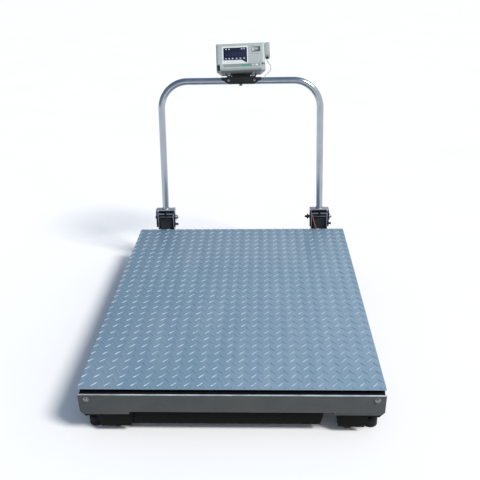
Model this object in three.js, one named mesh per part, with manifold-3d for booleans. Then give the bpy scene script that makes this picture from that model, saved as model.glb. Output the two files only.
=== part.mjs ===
// Mobile pallet scale: a chequered steel deck on four load cells in a low steel frame, with casters
// and levelling feet, and a folding tube handrail that carries the weight indicator.
// Millimetres, +Z up, -Y is the front (where the load is wheeled on), the floor is Z = 0.
// The model is drawn from the deck's front edge (Y = 0) and centred on its own box at the end.
import * as THREE from 'three';
import { mergeVertices } from 'three/addons/utils/BufferGeometryUtils.js';
import Module from 'manifold-3d';

const wasm = await Module();
wasm.setup();

// ---------- driving dimensions ----------
const GAP = 0.3;                 // air kept between touching pieces
const DECK_WIDTH = 1200;
const DECK_DEPTH = 1500;
const DECK_TOP = 215;            // height of the deck above the floor
const DECK_PLATE = 6;
const RIB = 40;                  // deck rib, square outside
const RIB_WALL = 3;
const RIB_COUNT = 7;
const RIB_PITCH = 175;

const RAIL_PROUD = 6;            // the frame stands this far outside the deck
const RAIL_SHEET = 4;
const RAIL_FLANGE = 36;
const RAIL_TOP = DECK_TOP - 25;
const RAIL_END_BOTTOM = 92;      // the deeper stretch over the feet
const RAIL_MID_BOTTOM = 104;     // the shallower stretch between them
const RAIL_END_LENGTH = 196;

const PAN_TOP = RAIL_END_BOTTOM - GAP;
const PAN_BOTTOM = 76;
const PAN_DEPTH = 124;
const PAN_WALL = 5;
const FOOT_X = 557;
const CASTER_X = 464;
const CORNER_Y = 60;             // feet and caster swivels, in from the deck's edge
const FOOT_RADIUS = 29;
const FOOT_HEIGHT = 46;
const STEM_RADIUS = 8;

const WHEEL_RADIUS = 30;
const WHEEL_WIDTH = 28;
const CASTER_TRAIL = 20;
const AXLE_RADIUS = 5;
const FORK_WIDTH = 46;
const FORK_WALL = 5;

const CELL_SECTION = 32;
const CELL_LENGTH = 132;
const BUTTON_X = 525;
const CELL_Y = 78;
const CELL_BOTTOM = 100;

const HINGE_X = 456;             // hinge brackets either side of the handrail's middle
const HANDRAIL_X = 4;            // the handrail's middle, right of the deck's middle
const PIVOT_Y = DECK_DEPTH + 42;
const PIVOT_Z = DECK_TOP + 62;
const LEAN = THREE.MathUtils.degToRad(5);
const CLEVIS_WIDTH = 112;
const CLEVIS_DEPTH = 48;
const CLEVIS_SHEET = 6;
const CLEVIS_TOP = 52;           // above the pivot
const CLEVIS_BOTTOM = -57;
const BASE_WIDTH = 96;
const BASE_DEPTH = 44;
const BASE_SHEET = 5;
const BASE_TOP = 30;             // above the pivot
const BOLT_RADIUS = 6;
const LOCK_DROP = 44;            // lock pin below the pivot
const LOCK_RADIUS = 4;

const TUBE_RADIUS = 19;
const TUBE_WALL = 2;
const RAIL_HEIGHT = 792;         // pivot to the middle of the top tube
const TOP_HALF = 444;
const BEND_RADIUS = 150;

const FACE_WIDTH = 268;
const FACE_HEIGHT = 157;
const FRONT_DEPTH = 28;
const CASE_DEPTH = 80;
const CASE_TAPER = 26;           // the rear case narrows by this towards its back
const CASE_WALL = 3;
const FACE_TILT = THREE.MathUtils.degToRad(35);
const FACE_ROLL = THREE.MathUtils.degToRad(1.8);   // the case sits a little askew on its lugs
const INDICATOR_X = 7;           // right of the handrail's middle
const WINDOW = { left: -94, right: 36, bottom: 37, top: 128 };
const KEY_ROW_Z = 24;
const KEY = { width: 14, height: 11, travel: 1.5 };
const KEY_X = [14, 31, 48, 67, 86];
const TILT_PIVOT = { y: 50, z: -12 };
const KNUCKLE_X = 67;

// ---------- materials ----------
const metal = (color, roughness, metalness = 1) =>
  new THREE.MeshStandardMaterial({ color, roughness, metalness });
const deckPaint = metal(0x6f8699, 0.45, 0.5);
const framePaint = metal(0x4f5456, 0.55, 0.3);
const blackPaint = metal(0x17191a, 0.6, 0.2);
const innerPaint = metal(0x2b3a4a, 0.6, 0.3);
const stainless = metal(0xc4ccd6, 0.2);
const zinc = metal(0xb7bbbf, 0.35);
const alloy = metal(0xa9adb1, 0.4);
const rubber = metal(0x161616, 0.85, 0);
const casePlastic = metal(0xb9c2be, 0.5, 0);
const caseBack = metal(0x66675f, 0.6, 0);
const darkGlass = metal(0x101428, 0.1, 0);
const boardGreen = metal(0x1f5a38, 0.5, 0);
const batteryGrey = metal(0x3a3f45, 0.6, 0);
const keyGreen = metal(0x35a07a, 0.5, 0);
const keyPink = metal(0xc9a3a8, 0.5, 0);
const keyPale = metal(0xd9dcdc, 0.5, 0);
const redPlastic = metal(0x6a1420, 0.4, 0);
const whiteCable = metal(0xe6e6e2, 0.5, 0);
const orangeCable = metal(0xc2452a, 0.5, 0);

// ---------- solids ----------
function toSolid(geometry) {
  const bare = geometry.clone();
  bare.deleteAttribute('normal');
  bare.deleteAttribute('uv');
  const merged = mergeVertices(bare.index ? bare.toNonIndexed() : bare, 1e-4);
  return new wasm.Manifold(new wasm.Mesh({
    numProp: 3,
    vertProperties: new Float32Array(merged.attributes.position.array),
    triVerts: new Uint32Array(merged.index.array),
  }));
}

function toGeometry(solid) {
  const mesh = solid.getMesh();
  const geometry = new THREE.BufferGeometry();
  geometry.setAttribute('position', new THREE.BufferAttribute(mesh.vertProperties, 3));
  geometry.setIndex(new THREE.BufferAttribute(mesh.triVerts, 1));
  return geometry;
}

const join = (...shapes) =>
  toGeometry(shapes.map(toSolid).reduce((all, next) => all.add(next)));
const cut = (shape, ...tools) =>
  toGeometry(tools.map(toSolid).reduce((left, tool) => left.subtract(tool), toSolid(shape)));

// A box between two corners.
function box(x0, x1, y0, y1, z0, z1) {
  const shape = new THREE.BoxGeometry(x1 - x0, y1 - y0, z1 - z0);
  return shape.translate((x0 + x1) / 2, (y0 + y1) / 2, (z0 + z1) / 2);
}

// A cylinder along an axis, starting at a point.
function rod(axis, radius, length, x, y, z, sides = 16) {
  const shape = new THREE.CylinderGeometry(radius, radius, length, sides);
  if (axis === 'x') shape.rotateZ(-Math.PI / 2).translate(length / 2, 0, 0);
  if (axis === 'y') shape.translate(0, length / 2, 0);
  if (axis === 'z') shape.rotateX(Math.PI / 2).translate(0, 0, length / 2);
  return shape.translate(x, y, z);
}

// An outline of [across, up] points in the XZ plane, extruded backwards from y0 to y1.
function plateXZ(points, y0, y1) {
  const outline = new THREE.Shape(points.map(([x, z]) => new THREE.Vector2(x, z)));
  const shape = new THREE.ExtrudeGeometry(outline, { depth: y1 - y0, bevelEnabled: false });
  return shape.rotateX(Math.PI / 2).translate(0, y1, 0);
}

// An outline of [depth, up] points in the YZ plane, extruded from x0 to x1.
function plateYZ(points, x0, x1) {
  const outline = new THREE.Shape(points.map(([y, z]) => new THREE.Vector2(y, z)));
  const shape = new THREE.ExtrudeGeometry(outline, { depth: x1 - x0, bevelEnabled: false });
  return shape.rotateX(Math.PI / 2).rotateZ(Math.PI / 2).translate(x0, 0, 0);
}

// A turned piece about Z from [radius, height] points that start and end on the axis.
function turned(points, sides = 20) {
  const profile = points.map(([r, z]) => new THREE.Vector2(r, z));
  return new THREE.LatheGeometry(profile, sides).rotateX(Math.PI / 2);
}

// A round bar or cable along a curve; a wall makes it a tube.
function alongCurve(curve, radius, sides, steps, wall = 0) {
  const ring = (r) => Array.from({ length: sides }, (_, i) => {
    const angle = (2 * Math.PI * i) / sides;
    return new THREE.Vector2(r * Math.cos(angle), r * Math.sin(angle));
  });
  const section = new THREE.Shape(ring(radius));
  if (wall > 0) section.holes.push(new THREE.Path(ring(radius - wall)));
  return new THREE.ExtrudeGeometry(section, { steps, extrudePath: curve, curveSegments: 1 });
}

function piece(parent, name, geometry, material) {
  const mesh = new THREE.Mesh(geometry, material);
  mesh.name = name;
  parent.add(mesh);
  return mesh;
}

const scale = new THREE.Group();
const CORNERS = [
  { tag: 'front_left', side: -1, end: 0 },
  { tag: 'front_right', side: 1, end: 0 },
  { tag: 'rear_left', side: -1, end: 1 },
  { tag: 'rear_right', side: 1, end: 1 },
];

// Everything at a corner is drawn for the front right one and turned over to the others.
function atCorner(geometry, corner) {
  const flip = new THREE.Matrix4().makeScale(corner.side, corner.end ? -1 : 1, 1);
  if (corner.end) flip.premultiply(new THREE.Matrix4().makeTranslation(0, DECK_DEPTH, 0));
  const placed = geometry.clone().applyMatrix4(flip);
  if (flip.determinant() < 0) {
    const index = placed.index ? placed : mergeVertices(placed);
    const order = index.index.array;
    for (let i = 0; i < order.length; i += 3) [order[i], order[i + 1]] = [order[i + 1], order[i]];
    return index;
  }
  return placed;
}

// ---------- frame rails: folded channel, open to the inside ----------
function endRail(outer, inner) {
  const half = DECK_WIDTH / 2 + RAIL_PROUD - 4;
  const shoulder = half - RAIL_END_LENGTH;
  const corner = 14;
  const web = [
    [-half, RAIL_TOP], [-half + 1.5, RAIL_END_BOTTOM + corner], [-half + corner, RAIL_END_BOTTOM],
    [-shoulder, RAIL_END_BOTTOM], [-shoulder + 3, RAIL_MID_BOTTOM],
    [shoulder - 3, RAIL_MID_BOTTOM], [shoulder, RAIL_END_BOTTOM],
    [half - corner, RAIL_END_BOTTOM], [half - 1.5, RAIL_END_BOTTOM + corner], [half, RAIL_TOP],
  ];
  const [y0, y1] = [Math.min(outer, inner), Math.max(outer, inner)];
  const back = Math.sign(inner - outer);
  const edge = outer + back * RAIL_FLANGE;
  const [f0, f1] = [Math.min(outer, edge), Math.max(outer, edge)];
  const inset = half - corner - 4;
  return join(
    plateXZ(web, y0, y1),
    box(-half + 5, half - 5, f0, f1, RAIL_TOP - RAIL_SHEET, RAIL_TOP),
    box(-inset, -shoulder - 2, f0, f1, RAIL_END_BOTTOM, RAIL_END_BOTTOM + RAIL_SHEET),
    box(shoulder + 2, inset, f0, f1, RAIL_END_BOTTOM, RAIL_END_BOTTOM + RAIL_SHEET),
    box(-shoulder + 5, shoulder - 5, f0, f1, RAIL_MID_BOTTOM, RAIL_MID_BOTTOM + RAIL_SHEET),
  );
}

function sideRail(side) {
  const outer = DECK_WIDTH / 2 + RAIL_PROUD - 4;
  const inner = outer - RAIL_SHEET;
  const deep = outer - RAIL_FLANGE;
  const y0 = RAIL_FLANGE - RAIL_PROUD + 1;
  const y1 = DECK_DEPTH - y0;
  const bottom = RAIL_END_BOTTOM;
  const channel = [
    [outer, bottom], [outer, RAIL_TOP], [deep, RAIL_TOP], [deep, RAIL_TOP - RAIL_SHEET],
    [inner, RAIL_TOP - RAIL_SHEET], [inner, bottom + RAIL_SHEET], [deep, bottom + RAIL_SHEET],
    [deep, bottom],
  ].map(([x, z]) => [side * x, z]);
  return plateXZ(side > 0 ? channel.reverse() : channel, y0, y1);
}

const frontFace = -RAIL_PROUD;
const rearFace = DECK_DEPTH + RAIL_PROUD;
piece(scale, 'front_rail', endRail(frontFace, frontFace + RAIL_SHEET), framePaint);
piece(scale, 'rear_rail', endRail(rearFace, rearFace - RAIL_SHEET), framePaint);
piece(scale, 'left_rail', sideRail(-1), framePaint);
piece(scale, 'right_rail', sideRail(1), framePaint);

// ---------- black channel beam hung under the front rail ----------
function underBeam() {
  const [left, right, step] = [-400, 366, 268];
  const [front, back] = [10, 50];
  const [bottom, top, low] = [34, RAIL_MID_BOTTOM - GAP, 96];
  const sheet = 5;
  const outline = [
    [left, bottom], [left, top], [step, top], [step + 4, low], [right, low - 4],
    [right - 14, bottom],
  ];
  const hollow = box(left - 1, right + 1, front + sheet, back + 1, bottom + sheet, low - 10);
  return cut(plateXZ(outline, front, back), hollow);
}
piece(scale, 'under_beam', underBeam(), blackPaint);

// ---------- deck: chequered plate on a ladder of folded ribs ----------
piece(scale, 'deck_plate', box(-DECK_WIDTH / 2, DECK_WIDTH / 2, 0, DECK_DEPTH,
  DECK_TOP - DECK_PLATE, DECK_TOP), deckPaint);

function deckFrame() {
  const top = DECK_TOP - DECK_PLATE - GAP;
  const bottom = top - RIB;
  const inset = 46;
  const members = [];
  for (let i = 0; i < RIB_COUNT; i += 1) {
    const x = (i - (RIB_COUNT - 1) / 2) * RIB_PITCH;
    members.push(plateXZ([
      [x - RIB / 2, bottom], [x - RIB / 2, top], [x + RIB / 2, top], [x + RIB / 2, bottom],
      [x + RIB / 2 - RIB_WALL, bottom], [x + RIB / 2 - RIB_WALL, top - RIB_WALL],
      [x - RIB / 2 + RIB_WALL, top - RIB_WALL], [x - RIB / 2 + RIB_WALL, bottom],
    ], inset + RIB_WALL - 1, DECK_DEPTH - inset - RIB_WALL + 1));
  }
  const reach = ((RIB_COUNT - 1) / 2) * RIB_PITCH + RIB / 2;
  const [low, high] = [bottom + 1, top - 1];
  members.push(box(-reach, reach, inset, inset + RIB_WALL, low, high));
  members.push(box(-reach, reach, DECK_DEPTH - inset - RIB_WALL, DECK_DEPTH - inset, low, high));
  return join(...members);
}
piece(scale, 'deck_frame', deckFrame(), innerPaint);

// ---------- corners: pan, load cell, loading button, levelling foot, caster ----------
const panInner = CASTER_X - 55;
const panOuter = DECK_WIDTH / 2 - 1;
function cornerPan() {
  const outline = [
    [panInner, PAN_TOP], [panInner + 28, PAN_BOTTOM], [panOuter - 14, PAN_BOTTOM],
    [panOuter, PAN_TOP],
  ];
  const hollow = [
    [panInner + 12, PAN_TOP - PAN_WALL], [panInner + 30, PAN_BOTTOM - 1],
    [panOuter - 18, PAN_BOTTOM - 1], [panOuter - 8, PAN_TOP - PAN_WALL],
  ];
  const front = 6;
  const post = box(panInner + 91, FOOT_X - STEM_RADIUS - 3, 34, CELL_Y - 18, PAN_TOP - 2, 160);
  const seat = box(panInner + 10, panInner + 58, CELL_Y - 20, CELL_Y + 20, PAN_TOP - 2, CELL_BOTTOM - GAP);
  return cut(
    join(plateXZ(outline, front, front + PAN_DEPTH), post, seat),
    plateXZ(hollow, front + PAN_WALL, front + PAN_DEPTH - PAN_WALL),
    rod('z', STEM_RADIUS + 0.6, 200, FOOT_X, CORNER_Y, PAN_BOTTOM - 2, 12),
  );
}

function loadCell() {
  const bottom = CELL_BOTTOM;
  const top = bottom + CELL_SECTION;
  const inner = panInner + 6;
  const bar = box(inner, inner + CELL_LENGTH, CELL_Y - 16, CELL_Y + 16, bottom, top);
  const pocket = rod('y', 9, 60, inner + 78, CELL_Y - 30, (bottom + top) / 2, 16);
  return cut(bar, pocket);
}

const buttonBottom = CELL_BOTTOM + CELL_SECTION + GAP;
const buttonTop = DECK_TOP - DECK_PLATE - GAP - RIB - GAP;
const loadButton = () => turned([
  [0, buttonBottom], [15, buttonBottom], [15, buttonBottom + 8], [9, buttonBottom + 12],
  [9, buttonTop - 12], [16, buttonTop - 7], [16, buttonTop], [0, buttonTop],
], 16).translate(BUTTON_X, CELL_Y, 0);

const levellingFoot = () => turned([
  [0, 0], [FOOT_RADIUS - 3, 0], [FOOT_RADIUS, 3], [FOOT_RADIUS, FOOT_HEIGHT - 6],
  [FOOT_RADIUS - 6, FOOT_HEIGHT], [14, FOOT_HEIGHT], [14, FOOT_HEIGHT + 8],
  [STEM_RADIUS, FOOT_HEIGHT + 8], [STEM_RADIUS, 160], [0, 160],
]).translate(FOOT_X, CORNER_Y, 0);

const forkTop = PAN_TOP - PAN_WALL - GAP;      // the swivel race sits up inside the pan
const plateUnder = 64;
const wheelY = CORNER_Y - CASTER_TRAIL;
function casterFork() {
  const half = FORK_WIDTH / 2;
  const leg = (x0, x1) => plateYZ([
    [wheelY - 11, WHEEL_RADIUS - 4], [wheelY - 11, WHEEL_RADIUS + 8], [CORNER_Y - 20, plateUnder + 3],
    [CORNER_Y + 20, plateUnder + 3], [CORNER_Y + 14, plateUnder - 8], [wheelY + 11, WHEEL_RADIUS - 4],
    [wheelY + 7, WHEEL_RADIUS - 10], [wheelY - 7, WHEEL_RADIUS - 10],
  ], x0, x1);
  return join(
    rod('z', 21, forkTop - plateUnder - 2, 0, CORNER_Y, plateUnder + 2),
    box(-half, half, CORNER_Y - 20, CORNER_Y + 20, plateUnder, plateUnder + 5),
    leg(-half, -half + FORK_WALL),
    leg(half - FORK_WALL, half),
    rod('x', AXLE_RADIUS - GAP, FORK_WIDTH + 6, -half - 3, wheelY, WHEEL_RADIUS, 12),
  ).translate(CASTER_X, 0, 0);
}

function casterWheel() {
  const half = WHEEL_WIDTH / 2;
  const tyre = turned([
    [0, -half - 2], [10, -half - 2], [10, -half], [WHEEL_RADIUS - 3, -half],
    [WHEEL_RADIUS, -half + 3], [WHEEL_RADIUS, half - 3], [WHEEL_RADIUS - 3, half],
    [10, half], [10, half + 2], [0, half + 2],
  ], 24);
  const wheel = cut(tyre, rod('z', AXLE_RADIUS + GAP, WHEEL_WIDTH + 10, 0, 0, -half - 5, 12));
  return wheel.rotateY(Math.PI / 2).translate(CASTER_X, wheelY, WHEEL_RADIUS);
}

for (const corner of CORNERS) {
  const put = (name, geometry, material) =>
    piece(scale, `${name}_${corner.tag}`, atCorner(geometry, corner), material);
  put('corner_pan', cornerPan(), blackPaint);
  put('load_cell', loadCell(), alloy);
  put('load_button', loadButton(), zinc);
  put('levelling_foot', levellingFoot(), rubber);
  put('caster_fork', casterFork(), blackPaint);
  put('caster_wheel', casterWheel(), rubber);
}

// ---------- junction box under the deck, on the rear rail ----------
const junction = { x0: -80, x1: 80, y0: 1380, y1: 1460, z0: 112, z1: 148 };
function junctionBox() {
  const j = junction;
  const tray = cut(
    box(j.x0, j.x1, j.y0, j.y1, j.z0, j.z1),
    box(j.x0 + 3, j.x1 - 3, j.y0 + 3, j.y1 - 3, j.z0 + 3, j.z1 + 1),
  );
  const glands = [-55, -25, 5, 35].map((x) => rod('y', 7, 14, x, j.y0 - 12, 130, 12));
  return join(tray, ...glands, box(-60, 60, j.y1 - 1, rearFace - RAIL_SHEET - GAP, j.z0, j.z0 + 4));
}
piece(scale, 'junction_box', junctionBox(), alloy);
piece(scale, 'junction_lid', box(junction.x0, junction.x1, junction.y0, junction.y1,
  junction.z1 + GAP, junction.z1 + GAP + 4), alloy);

// ---------- hinge bases on the rear rail ----------
const sides = [
  { tag: 'left', x: HANDRAIL_X - HINGE_X },
  { tag: 'right', x: HANDRAIL_X + HINGE_X },
];
const hingeLength = CLEVIS_WIDTH + 40;

function hingeBase(x) {
  const half = BASE_WIDTH / 2;
  const y0 = PIVOT_Y - BASE_DEPTH / 2;
  const y1 = PIVOT_Y + BASE_DEPTH / 2;
  const foot = 112;
  const top = PIVOT_Z + BASE_TOP;
  const web = BASE_SHEET;
  return cut(
    box(x - half, x + half, y0, y1, foot, top),
    box(x - half + web, x + half - web, y0 - 1, PIVOT_Y - 4, DECK_TOP - 12, top - web),
    box(x - half + web, x + half - web, PIVOT_Y + 1, y1 + 1, foot - 1, top - web),
    box(x - half + 12, x + half - 12, y0 - 1, y0 + 6, foot + 12, DECK_TOP - 30),
    rod('x', BOLT_RADIUS + 0.3, hingeLength, x - hingeLength / 2, PIVOT_Y, PIVOT_Z),
    rod('x', LOCK_RADIUS + 0.4, hingeLength, x, lockY, lockZ, 12),
  );
}
// The lock pin lies on the leaning handrail's middle line, below the pivot.
const lockY = PIVOT_Y - LOCK_DROP * Math.sin(LEAN);
const lockZ = PIVOT_Z - LOCK_DROP * Math.cos(LEAN);

function baseFeet(x) {
  const half = BASE_WIDTH / 2 - 14;
  return box(x - half, x + half, rearFace + GAP, PIVOT_Y - BASE_DEPTH / 2 + 2, 116, 188);
}

function pivotBolt(x, knobSide) {
  const reach = CLEVIS_WIDTH / 2 + GAP;
  const shank = rod('x', BOLT_RADIUS, 2 * reach + 8, x - reach - 4, PIVOT_Y, PIVOT_Z);
  const boss = rod('x', 13, 9, x + reach, PIVOT_Y, PIVOT_Z);
  const nut = rod('x', 9.5, 9, x + reach + 8, PIVOT_Y, PIVOT_Z, 6);
  const head = knobSide ? rod('x', 10, 4, x - reach - 4, PIVOT_Y, PIVOT_Z)
    : rod('x', 10.5, 8, x - reach - 8, PIVOT_Y, PIVOT_Z, 6);
  return join(shank, boss, nut, head);
}

for (const { tag, x } of sides) {
  piece(scale, `hinge_base_${tag}`, join(hingeBase(x), baseFeet(x)), stainless);
  piece(scale, `pivot_bolt_${tag}`, pivotBolt(x, tag === 'right'), zinc);
}

// Black clamping knob on the inner end of the right pivot bolt.
function clampKnob(x) {
  const start = x - CLEVIS_WIDTH / 2 - GAP - 4 - GAP;
  const profile = [[0, 0], [8, 0], [11, 3], [11, 10], [7, 14], [5, 22], [2, 25], [0, 25]];
  const body = turned(profile, 12).rotateY(-Math.PI / 2).translate(start, PIVOT_Y, PIVOT_Z);
  const wing = box(start - 11, start - 3, PIVOT_Y - 16, PIVOT_Y + 16, PIVOT_Z - 3.5, PIVOT_Z + 3.5);
  return join(body, wing);
}
piece(scale, 'clamp_knob', clampKnob(sides[1].x), blackPaint);

// ---------- handrail, drawn upright about its pivot and leaned back as one ----------
const handrail = new THREE.Group();
handrail.position.set(HANDRAIL_X, PIVOT_Y, PIVOT_Z);
handrail.rotation.x = -LEAN;
scale.add(handrail);

function hingeClevis(x) {
  const half = CLEVIS_WIDTH / 2;
  const depth = CLEVIS_DEPTH / 2;
  const corner = 12;
  const cheek = [
    [-depth, CLEVIS_BOTTOM + corner], [-depth, CLEVIS_TOP], [depth, CLEVIS_TOP],
    [depth, CLEVIS_BOTTOM + corner], [depth - corner, CLEVIS_BOTTOM],
    [-depth + corner, CLEVIS_BOTTOM],
  ];
  return cut(
    join(
      plateYZ(cheek, x - half, x - half + CLEVIS_SHEET),
      plateYZ(cheek, x + half - CLEVIS_SHEET, x + half),
      box(x - half, x + half, -depth, depth, CLEVIS_TOP - CLEVIS_SHEET, CLEVIS_TOP),
    ),
    rod('x', BOLT_RADIUS + 0.3, hingeLength, x - hingeLength / 2, 0, 0),
    rod('x', LOCK_RADIUS + 0.4, hingeLength, x, 0, -LOCK_DROP, 12),
  );
}

function lockPin(x) {
  const outside = x + CLEVIS_WIDTH / 2 + GAP;
  const pull = turned([[0, 0], [7, 0], [7, 5], [LOCK_RADIUS, 5], [LOCK_RADIUS, 8], [8.5, 8],
    [8.5, 15], [0, 15]], 12).rotateY(Math.PI / 2).translate(outside, 0, -LOCK_DROP);
  return join(pull, rod('x', LOCK_RADIUS, 8, outside - 7, 0, -LOCK_DROP, 12));
}

function handrailPath() {
  const bottom = CLEVIS_TOP + GAP;
  const slope = (HINGE_X - TOP_HALF) / RAIL_HEIGHT;
  const postX = (z) => HINGE_X - slope * z;
  const bendZ = RAIL_HEIGHT - BEND_RADIUS;
  const bendX = TOP_HALF - BEND_RADIUS;
  const pull = 0.5523 * BEND_RADIUS;         // handle length that makes a cubic a quarter circle
  const at = (x, z) => new THREE.Vector3(x, 0, z);
  const bend = (side) => [
    at(side * postX(bendZ), bendZ), at(side * postX(bendZ + pull), bendZ + pull),
    at(side * (bendX + pull), RAIL_HEIGHT), at(side * bendX, RAIL_HEIGHT),
  ];
  const path = new THREE.CurvePath();
  path.add(new THREE.LineCurve3(at(-postX(bottom), bottom), at(-postX(bendZ), bendZ)));
  path.add(new THREE.CubicBezierCurve3(...bend(-1)));
  path.add(new THREE.LineCurve3(at(-bendX, RAIL_HEIGHT), at(bendX, RAIL_HEIGHT)));
  path.add(new THREE.CubicBezierCurve3(...bend(1).reverse()));
  path.add(new THREE.LineCurve3(at(postX(bendZ), bendZ), at(postX(bottom), bottom)));
  return path;
}

for (const { tag, x } of sides) {
  const local = x - HANDRAIL_X;
  piece(handrail, `hinge_clevis_${tag}`, hingeClevis(local), stainless);
  piece(handrail, `lock_pin_${tag}`, lockPin(local), blackPaint);
}
piece(handrail, 'handrail_tube', alongCurve(handrailPath(), TUBE_RADIUS, 12, 50, TUBE_WALL), stainless);

// ---------- black saddle over the top tube ----------
const saddle = {
  front: -TUBE_RADIUS - 5, back: TUBE_RADIUS + 5, sheet: 3.5,
  shelf: RAIL_HEIGHT + TUBE_RADIUS + GAP, lip: RAIL_HEIGHT + 22.8, drop: RAIL_HEIGHT - 14,
  topHalf: 110, bottomHalf: 70, shelfHalf: 80,
};
// Tilt axis of the indicator in the handrail's own frame.
const FACE_LOCAL_TILT = FACE_TILT - LEAN;
const faceBottom = { y: -48, z: RAIL_HEIGHT + 67 };
const tiltAxis = {
  y: faceBottom.y + TILT_PIVOT.y * Math.cos(FACE_LOCAL_TILT) + TILT_PIVOT.z * Math.sin(FACE_LOCAL_TILT),
  z: faceBottom.z - TILT_PIVOT.y * Math.sin(FACE_LOCAL_TILT) + TILT_PIVOT.z * Math.cos(FACE_LOCAL_TILT),
};
const knuckle = { radius: 6, length: 16, ear: 4 };

function saddleBracket() {
  const s = saddle;
  const apron = (y0) => plateXZ([
    [INDICATOR_X - s.topHalf, s.lip], [INDICATOR_X + s.topHalf, s.lip],
    [INDICATOR_X + s.topHalf, s.lip - 12], [INDICATOR_X + s.bottomHalf, s.drop],
    [INDICATOR_X - s.bottomHalf, s.drop], [INDICATOR_X - s.topHalf, s.lip - 12],
  ].reverse(), y0, y0 + s.sheet);
  const ears = [-1, 1].flatMap((side) => [-1, 1].map((hand) => {
    const middle = INDICATOR_X + side * KNUCKLE_X + hand * (knuckle.length / 2 + GAP + knuckle.ear / 2);
    return plateYZ([
      [tiltAxis.y - 8, s.shelf + 1], [tiltAxis.y + 8, s.shelf + 1], [tiltAxis.y + 6, tiltAxis.z + 3],
      [tiltAxis.y, tiltAxis.z + 6], [tiltAxis.y - 6, tiltAxis.z + 3],
    ], middle - knuckle.ear / 2, middle + knuckle.ear / 2);
  }));
  const rearTop = s.shelf + s.sheet;
  const rear = plateXZ([
    [INDICATOR_X - s.bottomHalf, s.drop], [INDICATOR_X + s.bottomHalf, s.drop],
    [INDICATOR_X + s.shelfHalf, rearTop], [INDICATOR_X - s.shelfHalf, rearTop],
  ], s.back - s.sheet, s.back);
  const width = s.shelfHalf;
  return cut(
    join(
      apron(s.front), rear,
      box(INDICATOR_X - width, INDICATOR_X + width, s.front, s.back, s.shelf, s.shelf + s.sheet),
      ...ears,
    ),
    rod('x', 2.6, 2 * width, INDICATOR_X - width, tiltAxis.y, tiltAxis.z, 12),
  );
}
piece(handrail, 'saddle_bracket', saddleBracket(), blackPaint);

// Red-capped clamping screw under the tube.
const screwTop = RAIL_HEIGHT - TUBE_RADIUS - GAP;
piece(handrail, 'saddle_screw', turned([
  [0, screwTop - 6.5], [9, screwTop - 6.5], [10, screwTop - 5.5], [10, screwTop - 2],
  [5, screwTop - 1.5], [5, screwTop], [0, screwTop],
], 16).translate(INDICATOR_X - 4, -2, 0), redPlastic);

// ---------- indicator, drawn facing -Y with its face's lower edge at the origin ----------
const indicator = new THREE.Group();
indicator.position.set(INDICATOR_X, faceBottom.y, faceBottom.z);
indicator.rotation.set(-FACE_LOCAL_TILT, -FACE_ROLL, 0);
handrail.add(indicator);

// A block between two depths, whose outline is drawn in by an inset at each; the foot has its own.
function caseBlock(inset0, inset1, y0, y1, foot0 = inset0, foot1 = inset1) {
  const ring = (inset, foot) => {
    const [w, t] = [FACE_WIDTH / 2 - inset, FACE_HEIGHT - inset];
    return [[-w, foot], [w, foot], [w, t], [-w, t]];
  };
  const a = ring(inset0, foot0);
  const b = ring(inset1, foot1);
  const at = ([x, z], y) => [x, y, z];
  const corners = [...a.map((p) => at(p, y0)), ...b.map((p) => at(p, y1))].flat();
  const faces = [0, 1, 2, 0, 2, 3, 4, 6, 5, 4, 7, 6];
  for (let i = 0; i < 4; i += 1) {
    const j = (i + 1) % 4;
    faces.push(i, i + 4, j + 4, i, j + 4, j);
  }
  const block = new THREE.BufferGeometry();
  block.setAttribute('position', new THREE.Float32BufferAttribute(corners, 3));
  block.setIndex(faces);
  return block;
}

const keyHole = (x, grow, y0, y1) => box(
  x - KEY.width / 2 - grow, x + KEY.width / 2 + grow, y0, y1,
  KEY_ROW_Z - KEY.height / 2 - grow, KEY_ROW_Z + KEY.height / 2 + grow,
);

function frontCase() {
  const w = WINDOW;
  return cut(
    join(caseBlock(9, 0, 0, 9), caseBlock(0, 0, 8.9, FRONT_DEPTH)),
    caseBlock(CASE_WALL + 3, CASE_WALL, 5, FRONT_DEPTH + 1),
    box(w.left - 0.4, w.right + 0.4, -1, 10, w.bottom - 0.4, w.top + 0.4),
    ...KEY_X.map((x) => keyHole(x, 0.5, -1, 8)),
  );
}
piece(indicator, 'indicator_front_case', frontCase(), casePlastic);

// The rear case carries the tilt lugs, which stay level, and a socket housing on its right that
// reaches forward beside the front case.
const housing = { x0: 118, x1: 161, y0: 8, y1: 60, z0: 84, z1: 155 };
const glandAt = { x: 146, y: 45 };

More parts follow.
